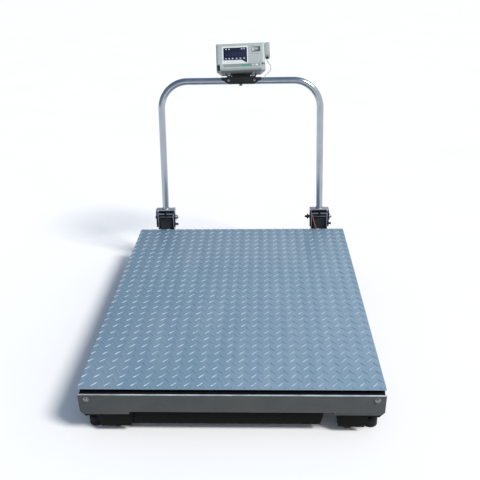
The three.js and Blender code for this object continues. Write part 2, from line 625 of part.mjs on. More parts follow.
function rearCase() {
  const deep = CASE_DEPTH;
  const wall = CASE_WALL;
  const start = FRONT_DEPTH + GAP;
  const half = knuckle.length / 2;
  const level = (shape) => shape.rotateY(FACE_ROLL);
  const lugs = [-1, 1].map((side) => level(rod('x', knuckle.radius, knuckle.length,
    side * KNUCKLE_X - half, TILT_PIVOT.y, TILT_PIVOT.z, 16)));
  const webs = [-1, 1].map((side) => level(box(side * KNUCKLE_X - half, side * KNUCKLE_X + half,
    TILT_PIVOT.y - 5, TILT_PIVOT.y + 5, TILT_PIVOT.z, 9)));
  const bores = [-1, 1].map((side) => level(rod('x', 2.6, knuckle.length + 2,
    side * KNUCKLE_X - half - 1, TILT_PIVOT.y, TILT_PIVOT.z, 12)));
  const h = housing;
  const beside = FACE_WIDTH / 2 + 2 * GAP;
  return cut(
    join(
      cut(
        join(
          caseBlock(0, CASE_TAPER, start, deep, 0, 0),
          box(h.x0, h.x1, start, h.y1, h.z0, h.z1),
          box(beside, h.x1, h.y0, h.y1, h.z0, h.z1),
        ),
        caseBlock(wall, CASE_TAPER + wall, start - 1, deep - wall, wall, wall),
        box(h.x0 - 6, h.x1 - wall, start + wall, h.y1 - wall, h.z0 + wall, h.z1 - wall),
        box(beside + wall, h.x1 - wall, h.y0 + wall, start + wall + 1, h.z0 + wall, h.z1 - wall),
      ),
      ...lugs, ...webs,
    ),
    ...bores, rod('z', 5.3, 20, glandAt.x, glandAt.y, h.z0 - 10, 16),
  );
}
piece(indicator, 'indicator_rear_case', rearCase(), caseBack);

piece(indicator, 'display_window', box(WINDOW.left, WINDOW.right, 1.2, 3.2, WINDOW.bottom, WINDOW.top),
  darkGlass);
const boardParts = [
  box(-112, 112, 20, 22, 12, 144),
  box(WINDOW.left + 6, WINDOW.right - 6, 9, 20.5, WINDOW.bottom + 5, WINDOW.top - 5),
  ...KEY_X.map((x) => box(x - 3, x + 3, 7.4 + KEY.travel + GAP, 20.5, KEY_ROW_Z - 3, KEY_ROW_Z + 3)),
];
piece(indicator, 'display_board', join(...boardParts), boardGreen);
piece(indicator, 'battery', box(-60, 40, 34, 60, 30, 100), batteryGrey);

const keyPaints = [keyGreen, keyGreen, keyGreen, keyPink, keyPale];
KEY_X.forEach((x, i) => {
  const cap = keyHole(x, 0, -1.2, 6);
  const skirt = keyHole(x, 1.4, 5.4, 7.4);
  piece(indicator, `key_${i + 1}`, join(cap, skirt), keyPaints[i]);
});

// Screwed cable gland in the floor of the socket housing.
piece(indicator, 'cable_gland', turned([
  [0, -7], [5, -7], [5, 0.3], [8.5, 0.3], [8.5, 6], [5, 10], [0, 10],
], 16).rotateX(Math.PI).translate(glandAt.x, glandAt.y, housing.z0), blackPaint);

// ---------- signal cable: the loop beside the indicator and the strand at the right hinge ----------
// Points in the handrail's own frame, from the gland to the top of the tube.
const upperCable = [
  [150.6, 30, 903.8], [150.8, 26.2, 897.2], [154, 22.2, 889.8], [161, 17.5, 881.5], [168, 12.5, 872],
  [171.5, 8.5, 861], [169, 5.5, 849], [161, 3.5, 838], [150.5, 2, 829], [141.5, 0.8, 821.5],
  [138, 0, 812.5],
].map(([x, y, z]) => new THREE.Vector3(x, y, z));
piece(handrail, 'signal_cable_upper',
  alongCurve(new THREE.CatmullRomCurve3(upperCable), 3.3, 8, 28), whiteCable);

// Points from the hinge's web to the gap behind the deck.
const lowerCable = [
  [421.5, 1536, 290], [421.5, 1527, 289], [421.8, 1520, 285], [422.6, 1516, 278.5], [424, 1514, 271],
  [427, 1512.5, 259], [431, 1511, 246], [436.5, 1509.5, 230], [441, 1507.5, 216],
  [444.5, 1505.5, 205], [446, 1503.6, 197], [446.4, 1503, 190.5],
].map(([x, y, z]) => new THREE.Vector3(x, y, z));
piece(scale, 'signal_cable_lower',
  alongCurve(new THREE.CatmullRomCurve3(lowerCable), 2.2, 8, 24), orangeCable);

// ---------- origin: middle of the footprint, on the floor ----------
scale.updateMatrixWorld(true);
const extent = new THREE.Box3().setFromObject(scale, true);
const middle = extent.getCenter(new THREE.Vector3());
scale.position.set(-middle.x, -middle.y, -extent.min.z);

export default scale;
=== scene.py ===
"""Mobile pallet scale: a chequered steel deck in a low frame, a folding tube handrail and a weight
indicator on top of it. Metres, +Z up, the front towards -Y, the floor at Z = 0."""
import math

import bmesh
import bpy
from mathutils import Matrix, Vector


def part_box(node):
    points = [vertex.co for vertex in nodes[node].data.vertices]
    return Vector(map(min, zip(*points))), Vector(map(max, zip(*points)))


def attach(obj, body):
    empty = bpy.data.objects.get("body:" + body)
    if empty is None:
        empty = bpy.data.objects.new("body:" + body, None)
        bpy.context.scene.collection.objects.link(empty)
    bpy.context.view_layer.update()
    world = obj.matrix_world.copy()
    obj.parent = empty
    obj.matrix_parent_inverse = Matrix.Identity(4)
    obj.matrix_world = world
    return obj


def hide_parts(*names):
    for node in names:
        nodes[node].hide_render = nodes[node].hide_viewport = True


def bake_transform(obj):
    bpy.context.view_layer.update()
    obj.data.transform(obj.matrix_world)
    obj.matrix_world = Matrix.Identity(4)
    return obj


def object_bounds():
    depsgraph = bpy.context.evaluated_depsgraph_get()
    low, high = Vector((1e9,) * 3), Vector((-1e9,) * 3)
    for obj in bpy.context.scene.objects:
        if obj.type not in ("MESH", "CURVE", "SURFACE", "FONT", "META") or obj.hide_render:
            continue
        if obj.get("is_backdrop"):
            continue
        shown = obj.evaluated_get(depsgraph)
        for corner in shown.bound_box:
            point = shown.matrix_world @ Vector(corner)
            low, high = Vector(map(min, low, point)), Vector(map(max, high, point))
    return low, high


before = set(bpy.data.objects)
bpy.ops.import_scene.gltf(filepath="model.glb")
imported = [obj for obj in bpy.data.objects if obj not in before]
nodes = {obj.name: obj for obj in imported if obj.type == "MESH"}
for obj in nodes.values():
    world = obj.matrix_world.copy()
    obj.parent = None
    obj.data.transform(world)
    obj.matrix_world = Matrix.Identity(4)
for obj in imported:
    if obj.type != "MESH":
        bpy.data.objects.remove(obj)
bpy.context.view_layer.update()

# ---------------------------------------------------------------- floor and light
# A plain pale floor under a soft studio sky: pale and bright on the right, blue overhead and dim
# on the left, so that bare steel shows a dark side and a bright one. A soft sun adds the key light.

SUN_AZIMUTH, SUN_HEIGHT, SUN_SPREAD = math.radians(62), math.radians(48), math.radians(17)
SUN_STRENGTH = 3.1
FLOOR_SIZE = 80.0


class Wire:
    """One output of a node. Arithmetic on wires adds Math nodes to the same tree."""

    def __init__(self, owner, socket):
        self.owner, self.socket = owner, socket

    def math(self, operation, *values):
        return self.owner.node("Math", {"operation": operation}, dict(enumerate(values)))

    def __add__(self, other):
        return self.math("ADD", self, other)

    def __radd__(self, other):
        return self.math("ADD", other, self)

    def __sub__(self, other):
        return self.math("SUBTRACT", self, other)

    def __rsub__(self, other):
        return self.math("SUBTRACT", other, self)

    def __mul__(self, other):
        return self.math("MULTIPLY", self, other)

    def __rmul__(self, other):
        return self.math("MULTIPLY", other, self)


class Mixing:
    """A node tree being built, with one method that adds any node to it."""

    def __init__(self, tree):
        self.tree = tree

    def node(self, kind, settings=None, sockets=None, output=0):
        made = self.tree.nodes.new("ShaderNode" + kind)
        for name, value in (settings or {}).items():
            setattr(made, name, value)
        for name, value in (sockets or {}).items():
            if isinstance(value, Wire):
                self.tree.links.new(value.socket, made.inputs[name])
            else:
                made.inputs[name].default_value = value
        return Wire(self, made.outputs[output])

    def between(self, share, first, second):
        """A colour part of the way from one to another."""
        return self.node("Mix", {"data_type": "RGBA"}, {0: share, 6: first, 7: second}, output=2)

    def ramp(self, value, low, high):
        """0 below a low value, 1 above a high one, and straight between them."""
        return self.node("MapRange", {}, {"Value": value, "From Min": low, "From Max": high})


def rgb(red, green, blue):
    return (red, green, blue, 1.0)


scene = bpy.context.scene
scene.view_settings.view_transform = "Standard"
scene.world = bpy.data.worlds.new("studio_sky")
scene.world.use_nodes = True
sky = Mixing(scene.world.node_tree)
toward = sky.node("TexCoord", output="Generated")
rightward = sky.ramp(sky.node("SeparateXYZ", {}, {0: toward}, "X"), -0.35, 0.75)
upward = sky.ramp(sky.node("SeparateXYZ", {}, {0: toward}, "Z"), 0.0, 0.95)
left_side = sky.between(upward, rgb(0.34, 0.38, 0.42), rgb(0.15, 0.23, 0.36))
right_side = sky.between(upward, rgb(1.10, 1.09, 1.06), rgb(0.40, 0.50, 0.66))
sky_colour = sky.between(rightward, left_side, right_side)
sky.tree.links.new(sky_colour.socket, sky.tree.nodes["Background"].inputs["Color"])

sun_side = Vector((math.sin(SUN_AZIMUTH) * math.cos(SUN_HEIGHT),
                   -math.cos(SUN_AZIMUTH) * math.cos(SUN_HEIGHT), math.sin(SUN_HEIGHT)))
bpy.ops.object.light_add(type="SUN", rotation=sun_side.to_track_quat("Z", "Y").to_euler())
sun = bpy.context.object
sun.data.energy, sun.data.angle, sun.data.color = SUN_STRENGTH, SUN_SPREAD, (1.0, 0.975, 0.935)


class Finish(Mixing):
    """A surface finish: one shader, its steady values, and the nodes that vary the rest."""

    def __init__(self, name, **steady):
        self.material = bpy.data.materials.new(name)
        self.material.use_nodes = True
        super().__init__(self.material.node_tree)
        self.shader = self.tree.nodes["Principled BSDF"]
        for socket, value in steady.items():
            self.shader.inputs[socket.replace("_", " ")].default_value = value

    def feed(self, **wires):
        for socket, wire in wires.items():
            self.tree.links.new(wire.socket, self.shader.inputs[socket.replace("_", " ")])
        return self.material

    def grain(self, scale, detail=3.0, stretch=(1, 1, 1)):
        """Soft cloudy variation over the piece, finer as the scale grows."""
        point = self.node("TexCoord", output="Object")
        point = self.node("Mapping", {}, {"Vector": point, "Scale": stretch})
        return self.node("TexNoise", {}, {"Vector": point, "Scale": scale, "Detail": detail})

    def relief(self, height, depth, strength=0.5):
        return self.node("Bump", {}, {"Height": height, "Strength": strength, "Distance": depth})


concrete = Finish("pale_floor", Roughness=0.9)
concrete.shader.inputs["Specular IOR Level"].default_value = 0.1
patch = concrete.grain(1.3, 4)
floor_finish = concrete.feed(
    Base_Color=concrete.between(patch, rgb(0.89, 0.88, 0.87), rgb(0.93, 0.92, 0.91)),
    Normal=concrete.relief(concrete.grain(60, 3), 0.0005, 0.2),
)
bpy.ops.object.select_all(action="DESELECT")
bpy.ops.mesh.primitive_plane_add(size=FLOOR_SIZE, location=(0, 0, -0.0003))
floor = bpy.context.object
floor.name = "floor"
floor.data.materials.append(floor_finish)
floor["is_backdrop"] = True

# ---------------------------------------------------------------- camera
# Standing eye height, two metres in front of the deck and a little right of its middle.

CAMERA_PLACE = (0.1290, -2.8729, 1.8051)
CAMERA_DOWN, CAMERA_LEFT = math.radians(25.267), math.radians(2.279)
CAMERA_ROLL = math.radians(-1.214)

bpy.ops.object.camera_add()
camera = bpy.context.object
camera.matrix_world = (
    Matrix.Translation(CAMERA_PLACE) @ Matrix.Rotation(CAMERA_LEFT, 4, "Z")
    @ Matrix.Rotation(math.radians(90) - CAMERA_DOWN, 4, "X")
    @ Matrix.Rotation(CAMERA_ROLL, 4, "Z")
)
camera.data.sensor_width, camera.data.lens = 36.0, 48.68
scene.camera = camera

# ---------------------------------------------------------------- signal cables
# The indicator's white PVC signal cable loops out of its gland and back into the top tube; the
# thinner orange-red pair comes out of the right hinge and drops into the gap behind the deck.

CABLE_RADIUS, PAIR_RADIUS = 0.0033, 0.0022
LEAN = math.radians(5)
deck_low, deck_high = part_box("deck_plate")
bolt_low, bolt_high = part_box("pivot_bolt_left")
pivot_y, pivot_z = (bolt_low.y + bolt_high.y) / 2, (bolt_low.z + bolt_high.z) / 2
handrail_x = (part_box("hinge_clevis_left")[0].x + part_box("hinge_clevis_right")[1].x) / 2
handrail_frame = (Matrix.Translation((handrail_x, pivot_y, pivot_z))
                  @ Matrix.Rotation(-LEAN, 4, "X"))

# In the leaning handrail's own frame, from the gland to the top of the tube.
WHITE_ROUTE = [
    (0.1506, 0.030, 0.9038), (0.1508, 0.0262, 0.8972), (0.154, 0.0222, 0.8898),
    (0.161, 0.0175, 0.8815), (0.168, 0.0125, 0.872), (0.1715, 0.0085, 0.861),
    (0.169, 0.0055, 0.849), (0.161, 0.0035, 0.838), (0.1505, 0.002, 0.829),
    (0.1415, 0.0008, 0.8215), (0.138, 0.0, 0.8125),
]
# From the hinge's web down to the rear rail, with Y measured from the deck's front edge.
ORANGE_ROUTE = [
    (0.4215, 1.536, 0.290), (0.4215, 1.527, 0.289), (0.4218, 1.520, 0.285),
    (0.4226, 1.516, 0.2785), (0.424, 1.514, 0.271), (0.427, 1.5125, 0.259),
    (0.431, 1.511, 0.246), (0.4365, 1.5095, 0.230), (0.441, 1.5075, 0.216),
    (0.4445, 1.5055, 0.205), (0.446, 1.5036, 0.197), (0.4464, 1.503, 0.1905),
]


def only(*things):
    """Leaves just these objects selected, the first of them active."""
    bpy.ops.object.select_all(action="DESELECT")
    for thing in things:
        thing.select_set(True)
    bpy.context.view_layer.objects.active = things[0]


def linked(name, data):
    """A new object in the scene, the only one selected."""
    thing = bpy.data.objects.new(name, data)
    scene.collection.objects.link(thing)
    only(thing)
    return thing


def smooth_route(points, per_span=3):
    """Points along the one smooth curve that passes through the given ones."""
    ends = [2 * points[0] - points[1], *points, 2 * points[-1] - points[-2]]
    route = []
    for a, b, c, d in zip(ends, ends[1:], ends[2:], ends[3:]):
        for step in range(per_span):
            t = step / per_span
            route.append(0.5 * (2 * b + (c - a) * t + (2 * a - 5 * b + 4 * c - d) * t ** 2
                                + (3 * b - a - 3 * c + d) * t ** 3))
    return route + [points[-1]]


def sheathed(name, route, radius):
    """A round cable along a route, as a mesh tube with closed ends."""
    curve = bpy.data.curves.new(name, "CURVE")
    curve.dimensions, curve.bevel_depth, curve.bevel_resolution = "3D", radius, 4
    curve.use_fill_caps = True
    spline = curve.splines.new("POLY")
    spline.points.add(len(route) - 1)
    for point, place in zip(spline.points, route):
        point.co = (*place, 1.0)
    linked(name, curve)
    bpy.ops.object.convert(target="MESH")
    bpy.ops.object.shade_smooth_by_angle(angle=math.radians(50))
    return bpy.context.object


def mottled(name, grain, colours, roughness, relief, ramp=None, skin=None, **steady):
    """One grain, sharpened by a ramp if given, varies colour and roughness. The same grain or a
    finer skin lifts the surface."""
    finish = Finish(name, **steady)
    mottle = finish.grain(*grain)
    if ramp:
        mottle = finish.ramp(mottle, *ramp)
    low_roughness, spread = roughness
    return finish.feed(
        Base_Color=finish.between(mottle, *colours),
        Roughness=low_roughness + spread * mottle,
        Normal=finish.relief(finish.grain(*skin) if skin else mottle, *relief),
    )


def sheath(name, clean, soiled):
    """Extruded PVC: faintly ribbed, a little soiled from handling."""
    return mottled(name, (70, 4), (clean, soiled), (0.38, 0.2), (0.0002, 0.3),
                   ramp=(0.45, 0.72), skin=(900, 2), IOR=1.46)


def route_length(route):
    return sum((b - a).length for a, b in zip(route, route[1:]))


white_path = smooth_route([handrail_frame @ Vector(p) for p in WHITE_ROUTE])
white_cable = sheathed("white_signal_cable", white_path, CABLE_RADIUS)
white_cable.data.materials.append(
    sheath("white_sheath", rgb(0.64, 0.64, 0.62), rgb(0.36, 0.35, 0.33)))
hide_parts("signal_cable_upper")
route_length(white_path)
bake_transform(white_cable)

deck_front = deck_low.y
orange_path = smooth_route([Vector((x, y + deck_front, z)) for x, y, z in ORANGE_ROUTE])
orange_cable = sheathed("orange_signal_pair", orange_path, PAIR_RADIUS)
orange_cable.data.materials.append(
    sheath("orange_sheath", rgb(0.62, 0.13, 0.07), rgb(0.25, 0.06, 0.04)))
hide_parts("signal_cable_lower")
route_length(orange_path)
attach(orange_cable, "frame")

# ---------------------------------------------------------------- frame rails
# Four channels folded from 4 mm sheet and powder coated grey; the end rails are deeper over the
# feet. Their corners are pulled together with button-head screws on washers.

SHEET_EDGE = 0.0011
SCREW_RADIUS, SCREW_HEIGHT, WASHER_RADIUS, WASHER_SHEET = 0.0078, 0.0046, 0.0115, 0.0018
SCREW_IN, SCREW_Z = 0.033, 0.167


def finished(thing):
    """Bakes an object's place, turn and size into its mesh."""
    only(thing)
    bpy.ops.object.transform_apply(location=True, rotation=True, scale=True)
    return thing


def worked(thing, kind, **settings):
    """Adds one modifier and applies it."""
    only(thing)
    modifier = thing.modifiers.new(kind, kind)
    for name, value in settings.items():
        setattr(modifier, name, value)
    bpy.ops.object.modifier_apply(modifier=modifier.name)
    return thing


def smoothed(thing, angle=35):
    only(thing)
    bpy.ops.object.shade_smooth_by_angle(angle=math.radians(angle))
    return thing


def rounded(thing, edge, segments=2, angle=35):
    """Rounds off the sharp edges of a piece."""
    worked(thing, "BEVEL", width=edge, segments=segments, limit_method="ANGLE",
           angle_limit=math.radians(angle))
    return smoothed(thing)


def deburred(node, name, edge, segments=2):
    """A solid's own shape, its faces made whole again and its sharp edges rounded off."""
    part = linked(name, nodes[node].data.copy())
    bpy.ops.mesh.customdata_custom_splitnormals_clear()
    bpy.ops.object.mode_set(mode="EDIT")
    bpy.ops.mesh.select_all(action="SELECT")
    bpy.ops.mesh.remove_doubles(threshold=0.00001)
    bpy.ops.mesh.dissolve_limited(angle_limit=math.radians(1))
    bpy.ops.object.mode_set(mode="OBJECT")
    return rounded(part, edge, segments)


def choose(thing, kind, test):
    """Opens a piece for editing with the faces or verts that pass a test selected."""
    only(thing)
    bpy.ops.object.mode_set(mode="EDIT")
    bpy.ops.mesh.select_mode(type={"faces": "FACE", "verts": "VERT"}[kind])
    bpy.ops.mesh.select_all(action="DESELECT")
    shape = bmesh.from_edit_mesh(thing.data)
    for item in getattr(shape, kind):
        place = item.calc_center_median() if kind == "faces" else item.co
        if test(place, item.normal):
            item.select_set(True)
    shape.select_flush_mode()
    bmesh.update_edit_mesh(thing.data)


def closed_up():
    bpy.ops.object.mode_set(mode="OBJECT")


def extruded(push):
    """Draws the chosen faces out along a vector."""
    bpy.ops.mesh.extrude_region_move(TRANSFORM_OT_translate={"value": push})


def stepped(thing, facing, margin, push, walled=False):
    """Insets the faces that look one way and pushes the middle, behind a wall or a slope."""
    choose(thing, "faces", lambda place, normal: normal.dot(Vector(facing)) > 0.9)
    bpy.ops.mesh.inset(thickness=margin)
    if walled:
        extruded(push)
    else:
        bpy.ops.transform.translate(value=push)
    closed_up()
    return thing


def tapered(thing, facing, factors, centre):
    """Draws in the faces that look one way, toward a centre."""
    choose(thing, "faces", lambda place, normal: normal.dot(Vector(facing)) > 0.9)
    bpy.ops.transform.resize(value=factors, center_override=centre)
    closed_up()
    return thing


def stood(thing, place, direction=(0, 0, 1)):
    """Stands a piece drawn along +Z at a place, pointing along a direction."""
    turn = Vector(direction).to_track_quat("Z", "Y").to_matrix().to_4x4()
    thing.data.transform(Matrix.Translation(place) @ turn)
    return thing


def joined(name, things):
    only(*things)
    if len(things) > 1:
        bpy.ops.object.join()
    things[0].name = name
    return things[0]


def set_out(model, name, spots):
    """A copy of a small part at each (place, direction), as one piece; the model is used up."""
    made = []
    for place, direction in spots:
        twin = model.copy()
        twin.data = model.data.copy()
        scene.collection.objects.link(twin)
        made.append(stood(twin, place, direction))
    bpy.data.objects.remove(model)
    return joined(name, made)


def disc(radius, depth, place=(0, 0, 0), sides=24):
    """A short round blank standing on a place."""
    bpy.ops.object.select_all(action="DESELECT")
    middle = Vector(place) + Vector((0, 0, depth / 2))
    bpy.ops.mesh.primitive_cylinder_add(vertices=sides, radius=radius, depth=depth,
                                        location=middle)
    return finished(bpy.context.object)


def button_screw(radius, height, washer, washer_sheet):
    """A button-head socket screw on its washer, standing on the origin."""
    ring = rounded(disc(washer, washer_sheet), washer_sheet * 0.3)
    head = disc(radius, height, (0, 0, washer_sheet))
    choose(head, "faces", lambda place, facing: facing.z > 0.9)
    bpy.ops.mesh.inset(thickness=radius * 0.34)
    bpy.ops.transform.translate(value=(0, 0, height * 0.12))
    bpy.ops.mesh.inset(thickness=radius * 0.22)
    extruded((0, 0, -height * 0.6))
    closed_up()
    rounded(head, height * 0.12, 2, 50)
    return joined("screw", [ring, head])


def fitted(thing, finish, body, slot, *stood_for):
    """Gives a piece its finish, hides the solids it stands for and hangs it on the body it rides on.
    The slot is not used.
    """
    thing.data.materials.clear()
    thing.data.materials.append(finish)
    if stood_for:
        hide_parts(*stood_for)
    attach(thing, body)
    return thing


def from_solid(node, name, edge, finish, body, slot, segments=2):
    """A piece with a solid's own shape, fitted in its place."""
    return fitted(deburred(node, name, edge, segments), finish, body, slot, node)


def powder_coat(name, colour, dust, dusty=0.35, roughness=0.5, index=1.5):
    """Sprayed or powder coated steel: orange peel, dust that has settled, and fine rubs."""
    coat = Finish(name, IOR=index)
    cloud = coat.grain(5.0, 4)
    grime = coat.ramp(coat.grain(11.0, 6), 0.42, 0.78)
    rubs = coat.ramp(coat.grain(26.0, 3, (1, 1, 9)), 0.66, 0.73)
    peel = coat.grain(420.0, 2)
    deep, light = rgb(*(0.80 * c for c in colour)), rgb(*(1.18 * c for c in colour))
    base = coat.between(cloud, deep, light)
    base = coat.between(grime * dusty, base, dust)
    base = coat.between(rubs * 0.18, base, rgb(*(min(1, 2.6 * c) for c in colour)))
    return coat.feed(
        Base_Color=base,
        Roughness=roughness + 0.22 * grime - 0.12 * rubs,
        Normal=coat.relief(peel, 0.0003, 0.35),
    )


def plated(name, colour, roughness=0.3, spangle=40.0, stain=0.35):
    """Zinc or nickel plated steel: bright, faintly mottled, with dull stains."""
    plate = Finish(name, Metallic=1.0)
    mottle = plate.grain(spangle, 2)
    dull = plate.ramp(plate.grain(24.0, 5), 0.50, 0.80)
    deep, light = rgb(*(0.82 * c for c in colour)), rgb(*(min(1, 1.12 * c) for c in colour))
    base = plate.between(mottle, deep, light)
    base = plate.between(dull * stain, base, rgb(*(0.45 * c for c in colour)))
    return plate.feed(
        Base_Color=base,
        Roughness=roughness + 0.10 * mottle + 0.22 * dull,
        Normal=plate.relief(plate.grain(300, 2), 0.0001, 0.3),
    )


rail_paint = powder_coat("rail_paint", (0.050, 0.055, 0.055), rgb(0.15, 0.145, 0.13), 0.2, 0.48,
                         index=1.38)
screw_zinc = plated("screw_zinc", (0.27, 0.275, 0.28), 0.24, 40.0, 0.5)
for side in ("front", "rear", "left", "right"):
    from_solid(f"{side}_rail", f"rail_{side}", SHEET_EDGE, rail_paint, "frame", "frame_paint")

rail_low, rail_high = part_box("front_rail")
rear_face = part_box("rear_rail")[1].y
side_low, side_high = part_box("right_rail")
spots = [(Vector((x, y, SCREW_Z)), (0, out, 0))
         for x in (rail_low.x + SCREW_IN, rail_high.x - SCREW_IN)
         for y, out in ((rail_low.y, -1), (rear_face, 1))]
spots += [(Vector((x, y, SCREW_Z)), (out, 0, 0))
          for x, out in ((side_high.x, 1), (-side_high.x, -1))
          for y in (side_low.y + SCREW_IN, side_high.y - SCREW_IN)]
screws = set_out(button_screw(SCREW_RADIUS, SCREW_HEIGHT, WASHER_RADIUS, WASHER_SHEET),
                 "rail_screws", spots)
fitted(screws, screw_zinc, "frame", "zinc")

# The front rail's top fold is capped by a thin pale angle; its pale blue-white is a painted highlight
# of the rounded fold.
CAP_HEIGHT, CAP_LAP, CAP_SHEET = 0.0042, 0.0022, 0.0008
cap_end = rail_high.x - 0.0015


def block(name, low, high):
    """A squared blank between two corners."""
    low, high = Vector(low), Vector(high)
    bpy.ops.object.select_all(action="DESELECT")
    bpy.ops.mesh.primitive_cube_add(size=1.0, location=(low + high) / 2, scale=high - low)
    thing = bpy.context.object
    thing.name = name
    return finished(thing)


def hollowed(thing, *cutters):
    """Cuts the shapes out of a piece and uses them up."""
    for cutter in cutters:
        worked(thing, "BOOLEAN", operation="DIFFERENCE", object=cutter, solver="EXACT")
        bpy.data.objects.remove(cutter)
    return thing


angle = block("front_edge_angle",
              (-cap_end, rail_low.y - CAP_SHEET, rail_high.z - CAP_HEIGHT),
              (cap_end, rail_low.y + CAP_LAP, rail_high.z + CAP_SHEET))
hollowed(angle, block("inside", (-1, rail_low.y - 0.0001, rail_high.z - 0.02),
                      (1, rail_low.y + 0.02, rail_high.z + 0.0001)))
rounded(angle, 0.0004)
fold_highlight_finish = mottled("fold_highlight_strip", (30.0, 5, (0.4, 1, 1)),
                     (rgb(0.46, 0.52, 0.55), rgb(0.24, 0.27, 0.285)),
                     (0.36, 0.2), (0.0002, 0.3), ramp=(0.42, 0.70), IOR=1.5)
fitted(angle, fold_highlight_finish, "frame", "zinc")

# Near-black foam tape lies on the front rail's flange; its black is painted shade for the gap under
# the deck's front edge.
TAPE_HEIGHT, TAPE_WIDTH = 0.0022, 0.0325
tape = block("front_gap_shade_tape", (-cap_end + 0.006, rail_low.y + CAP_LAP + 0.0006, rail_high.z),
             (cap_end - 0.006, rail_low.y + CAP_LAP + TAPE_WIDTH, rail_high.z + TAPE_HEIGHT))
stepped(tape, (0, 0, 1), 0.004, (0, 0, 0.0006))
gap_shade_finish = mottled("gap_shade_tape", (900.0, 2), (rgb(0.003, 0.003, 0.004), rgb(0.010, 0.010, 0.012)),
                      (0.85, 0.1), (0.0004, 0.6), IOR=1.15)
fitted(rounded(tape, 0.0005), gap_shade_finish, "frame", "rubber")

# ---------------------------------------------------------------- beam under the front rail
# A black channel hung under the front rail by flat-head screws, dusty from the floor. Its black band
# is painted shade, standing where the floor under the deck's front lies in shadow.

black_coat = powder_coat("black_coat", (0.0034, 0.0036, 0.0036), rgb(0.024, 0.023, 0.021),
                         0.14, 0.5, index=1.17)
from_solid("under_beam", "front_under_shade_beam", 0.0015, black_coat, "frame", "black_paint")

# ---------------------------------------------------------------- deck
# A 6 mm chequer plate, blue-grey painted, laid over seven folded ribs. The lens-shaped lugs are
# rolled into the plate in two directions, half a pitch apart, and are sheared off at its edges.

LUG_LENGTH, LUG_WIDTH, LUG_FOOT, LUG_STEP = 0.0355, 0.0074, 0.0013, 0.0008
LUG_SUNK = 0.0006
PITCH_X, PITCH_Y = 0.0524, 0.0526
BRIGHT_START = (0.007, 0.0255)
DULL_START = (0.0332, -0.0008)


def lug_row(name, turn, start, count):
    """A field of lugs at one angle, trimmed to the plate."""
    lug = disc(0.5, 1.0, (0, 0, -0.5), 12)
    lug.scale = (LUG_LENGTH, LUG_WIDTH, LUG_FOOT + LUG_SUNK)
    finished(lug)
    choose(lug, "faces", lambda place, facing: facing.z > 0.9)
    bpy.ops.transform.resize(value=(0.92, 0.72, 1), center_override=(0, 0, 0))
    extruded((0, 0, LUG_STEP))
    bpy.ops.transform.resize(value=(0.80, 0.34, 1), center_override=(0, 0, 0))
    closed_up()
    lug.rotation_euler.z = math.radians(turn)
    middle = (LUG_FOOT + LUG_SUNK) / 2 - LUG_SUNK
    lug.location = (deck_low.x + start[0], deck_low.y + start[1], deck_high.z + middle)
    finished(lug)
    for copies, step in zip(count, ((PITCH_X, 0, 0), (0, PITCH_Y, 0))):
        worked(lug, "ARRAY", count=copies, use_relative_offset=False,
               use_constant_offset=True, constant_offset_displace=step)
    for corner, normal in ((deck_low, (-1, 0, 0)), (deck_low, (0, -1, 0)),
                           (deck_high, (1, 0, 0)), (deck_high, (0, 1, 0))):
        choose(lug, "verts", lambda place, facing: True)
        inside = corner - Vector(normal) * 0.0004
        bpy.ops.mesh.bisect(plane_co=inside, plane_no=normal, clear_outer=True, use_fill=True)
        closed_up()
    lug.name = name
    return smoothed(lug, 50)


def deck_coat(name, wear_and_highlight):
    """Blue-grey enamel: cloudy patches, drag marks from loads, and high spots made pale, partly by
    wear and partly as a painted highlight.
    """
    coat = Finish(name, IOR=1.52, Coat_Roughness=0.2)
    cloud = coat.grain(2.2, 5)
    drag = coat.ramp(coat.grain(14.0, 5, (1, 0.12, 1)), 0.46, 0.74)
    speck = coat.ramp(coat.grain(210.0, 3), 0.60, 0.70)
    peel = coat.grain(330.0, 3)
    base = coat.between(cloud, rgb(0.142, 0.245, 0.322), rgb(0.212, 0.290, 0.376))
    base = coat.between(drag * 0.40, base, rgb(0.270, 0.345, 0.410))
    base = coat.between(speck * 0.22, base, rgb(0.090, 0.130, 0.165))
    height = coat.node("SeparateXYZ", {}, {0: coat.node("TexCoord", output="Object")}, "Z")
    top = coat.ramp(height, deck_high.z + 0.0006, deck_high.z + 0.0017)
    rubbed_and_highlit = top * coat.ramp(coat.grain(60.0, 4), 0.30, 0.62)
    base = coat.between(rubbed_and_highlit * wear_and_highlight, base, rgb(0.44, 0.56, 0.64))
    return coat.feed(
        Base_Color=base,
        Roughness=0.34 + 0.16 * drag + 0.10 * speck - 0.06 * rubbed_and_highlit,
        Normal=coat.relief(peel, 0.0003, 0.3),
    )


from_solid("deck_plate", "chequer_plate", 0.0012, deck_coat("deck_enamel", 0.3),
           "frame", "deck_paint")
# The rising lugs get strongly pale tops and the falling lugs faint ones. Beyond wear, this is a
# painted highlight on the rising lugs, whose flanks face the sun.
bright_lugs = lug_row("tread_lugs_rising", 45, BRIGHT_START, (24, 29))
fitted(bright_lugs, deck_coat("rising_lug_highlit_enamel", 0.95), "frame", "deck_paint")
dull_lugs = lug_row("tread_lugs_falling", -45, DULL_START, (23, 29))
fitted(dull_lugs, deck_coat("falling_lug_enamel", 0.12), "frame", "deck_paint")

inner_coat = powder_coat("rib_primer", (0.026, 0.040, 0.056), rgb(0.12, 0.115, 0.10), 0.3, 0.55)
from_solid("deck_frame", "deck_ribs", 0.0009, inner_coat, "frame", "inner_paint")

# ---------------------------------------------------------------- corner pans and load cells
# Each corner has a black pan that carries a shear-beam load cell, held by two cap screws; a
# hardened button on the cell's free end takes the deck.

CELL_SCREW, CELL_SCREW_REACHES, CELL_POCKET_REACH = 0.0058, (0.012, 0.036), 0.078


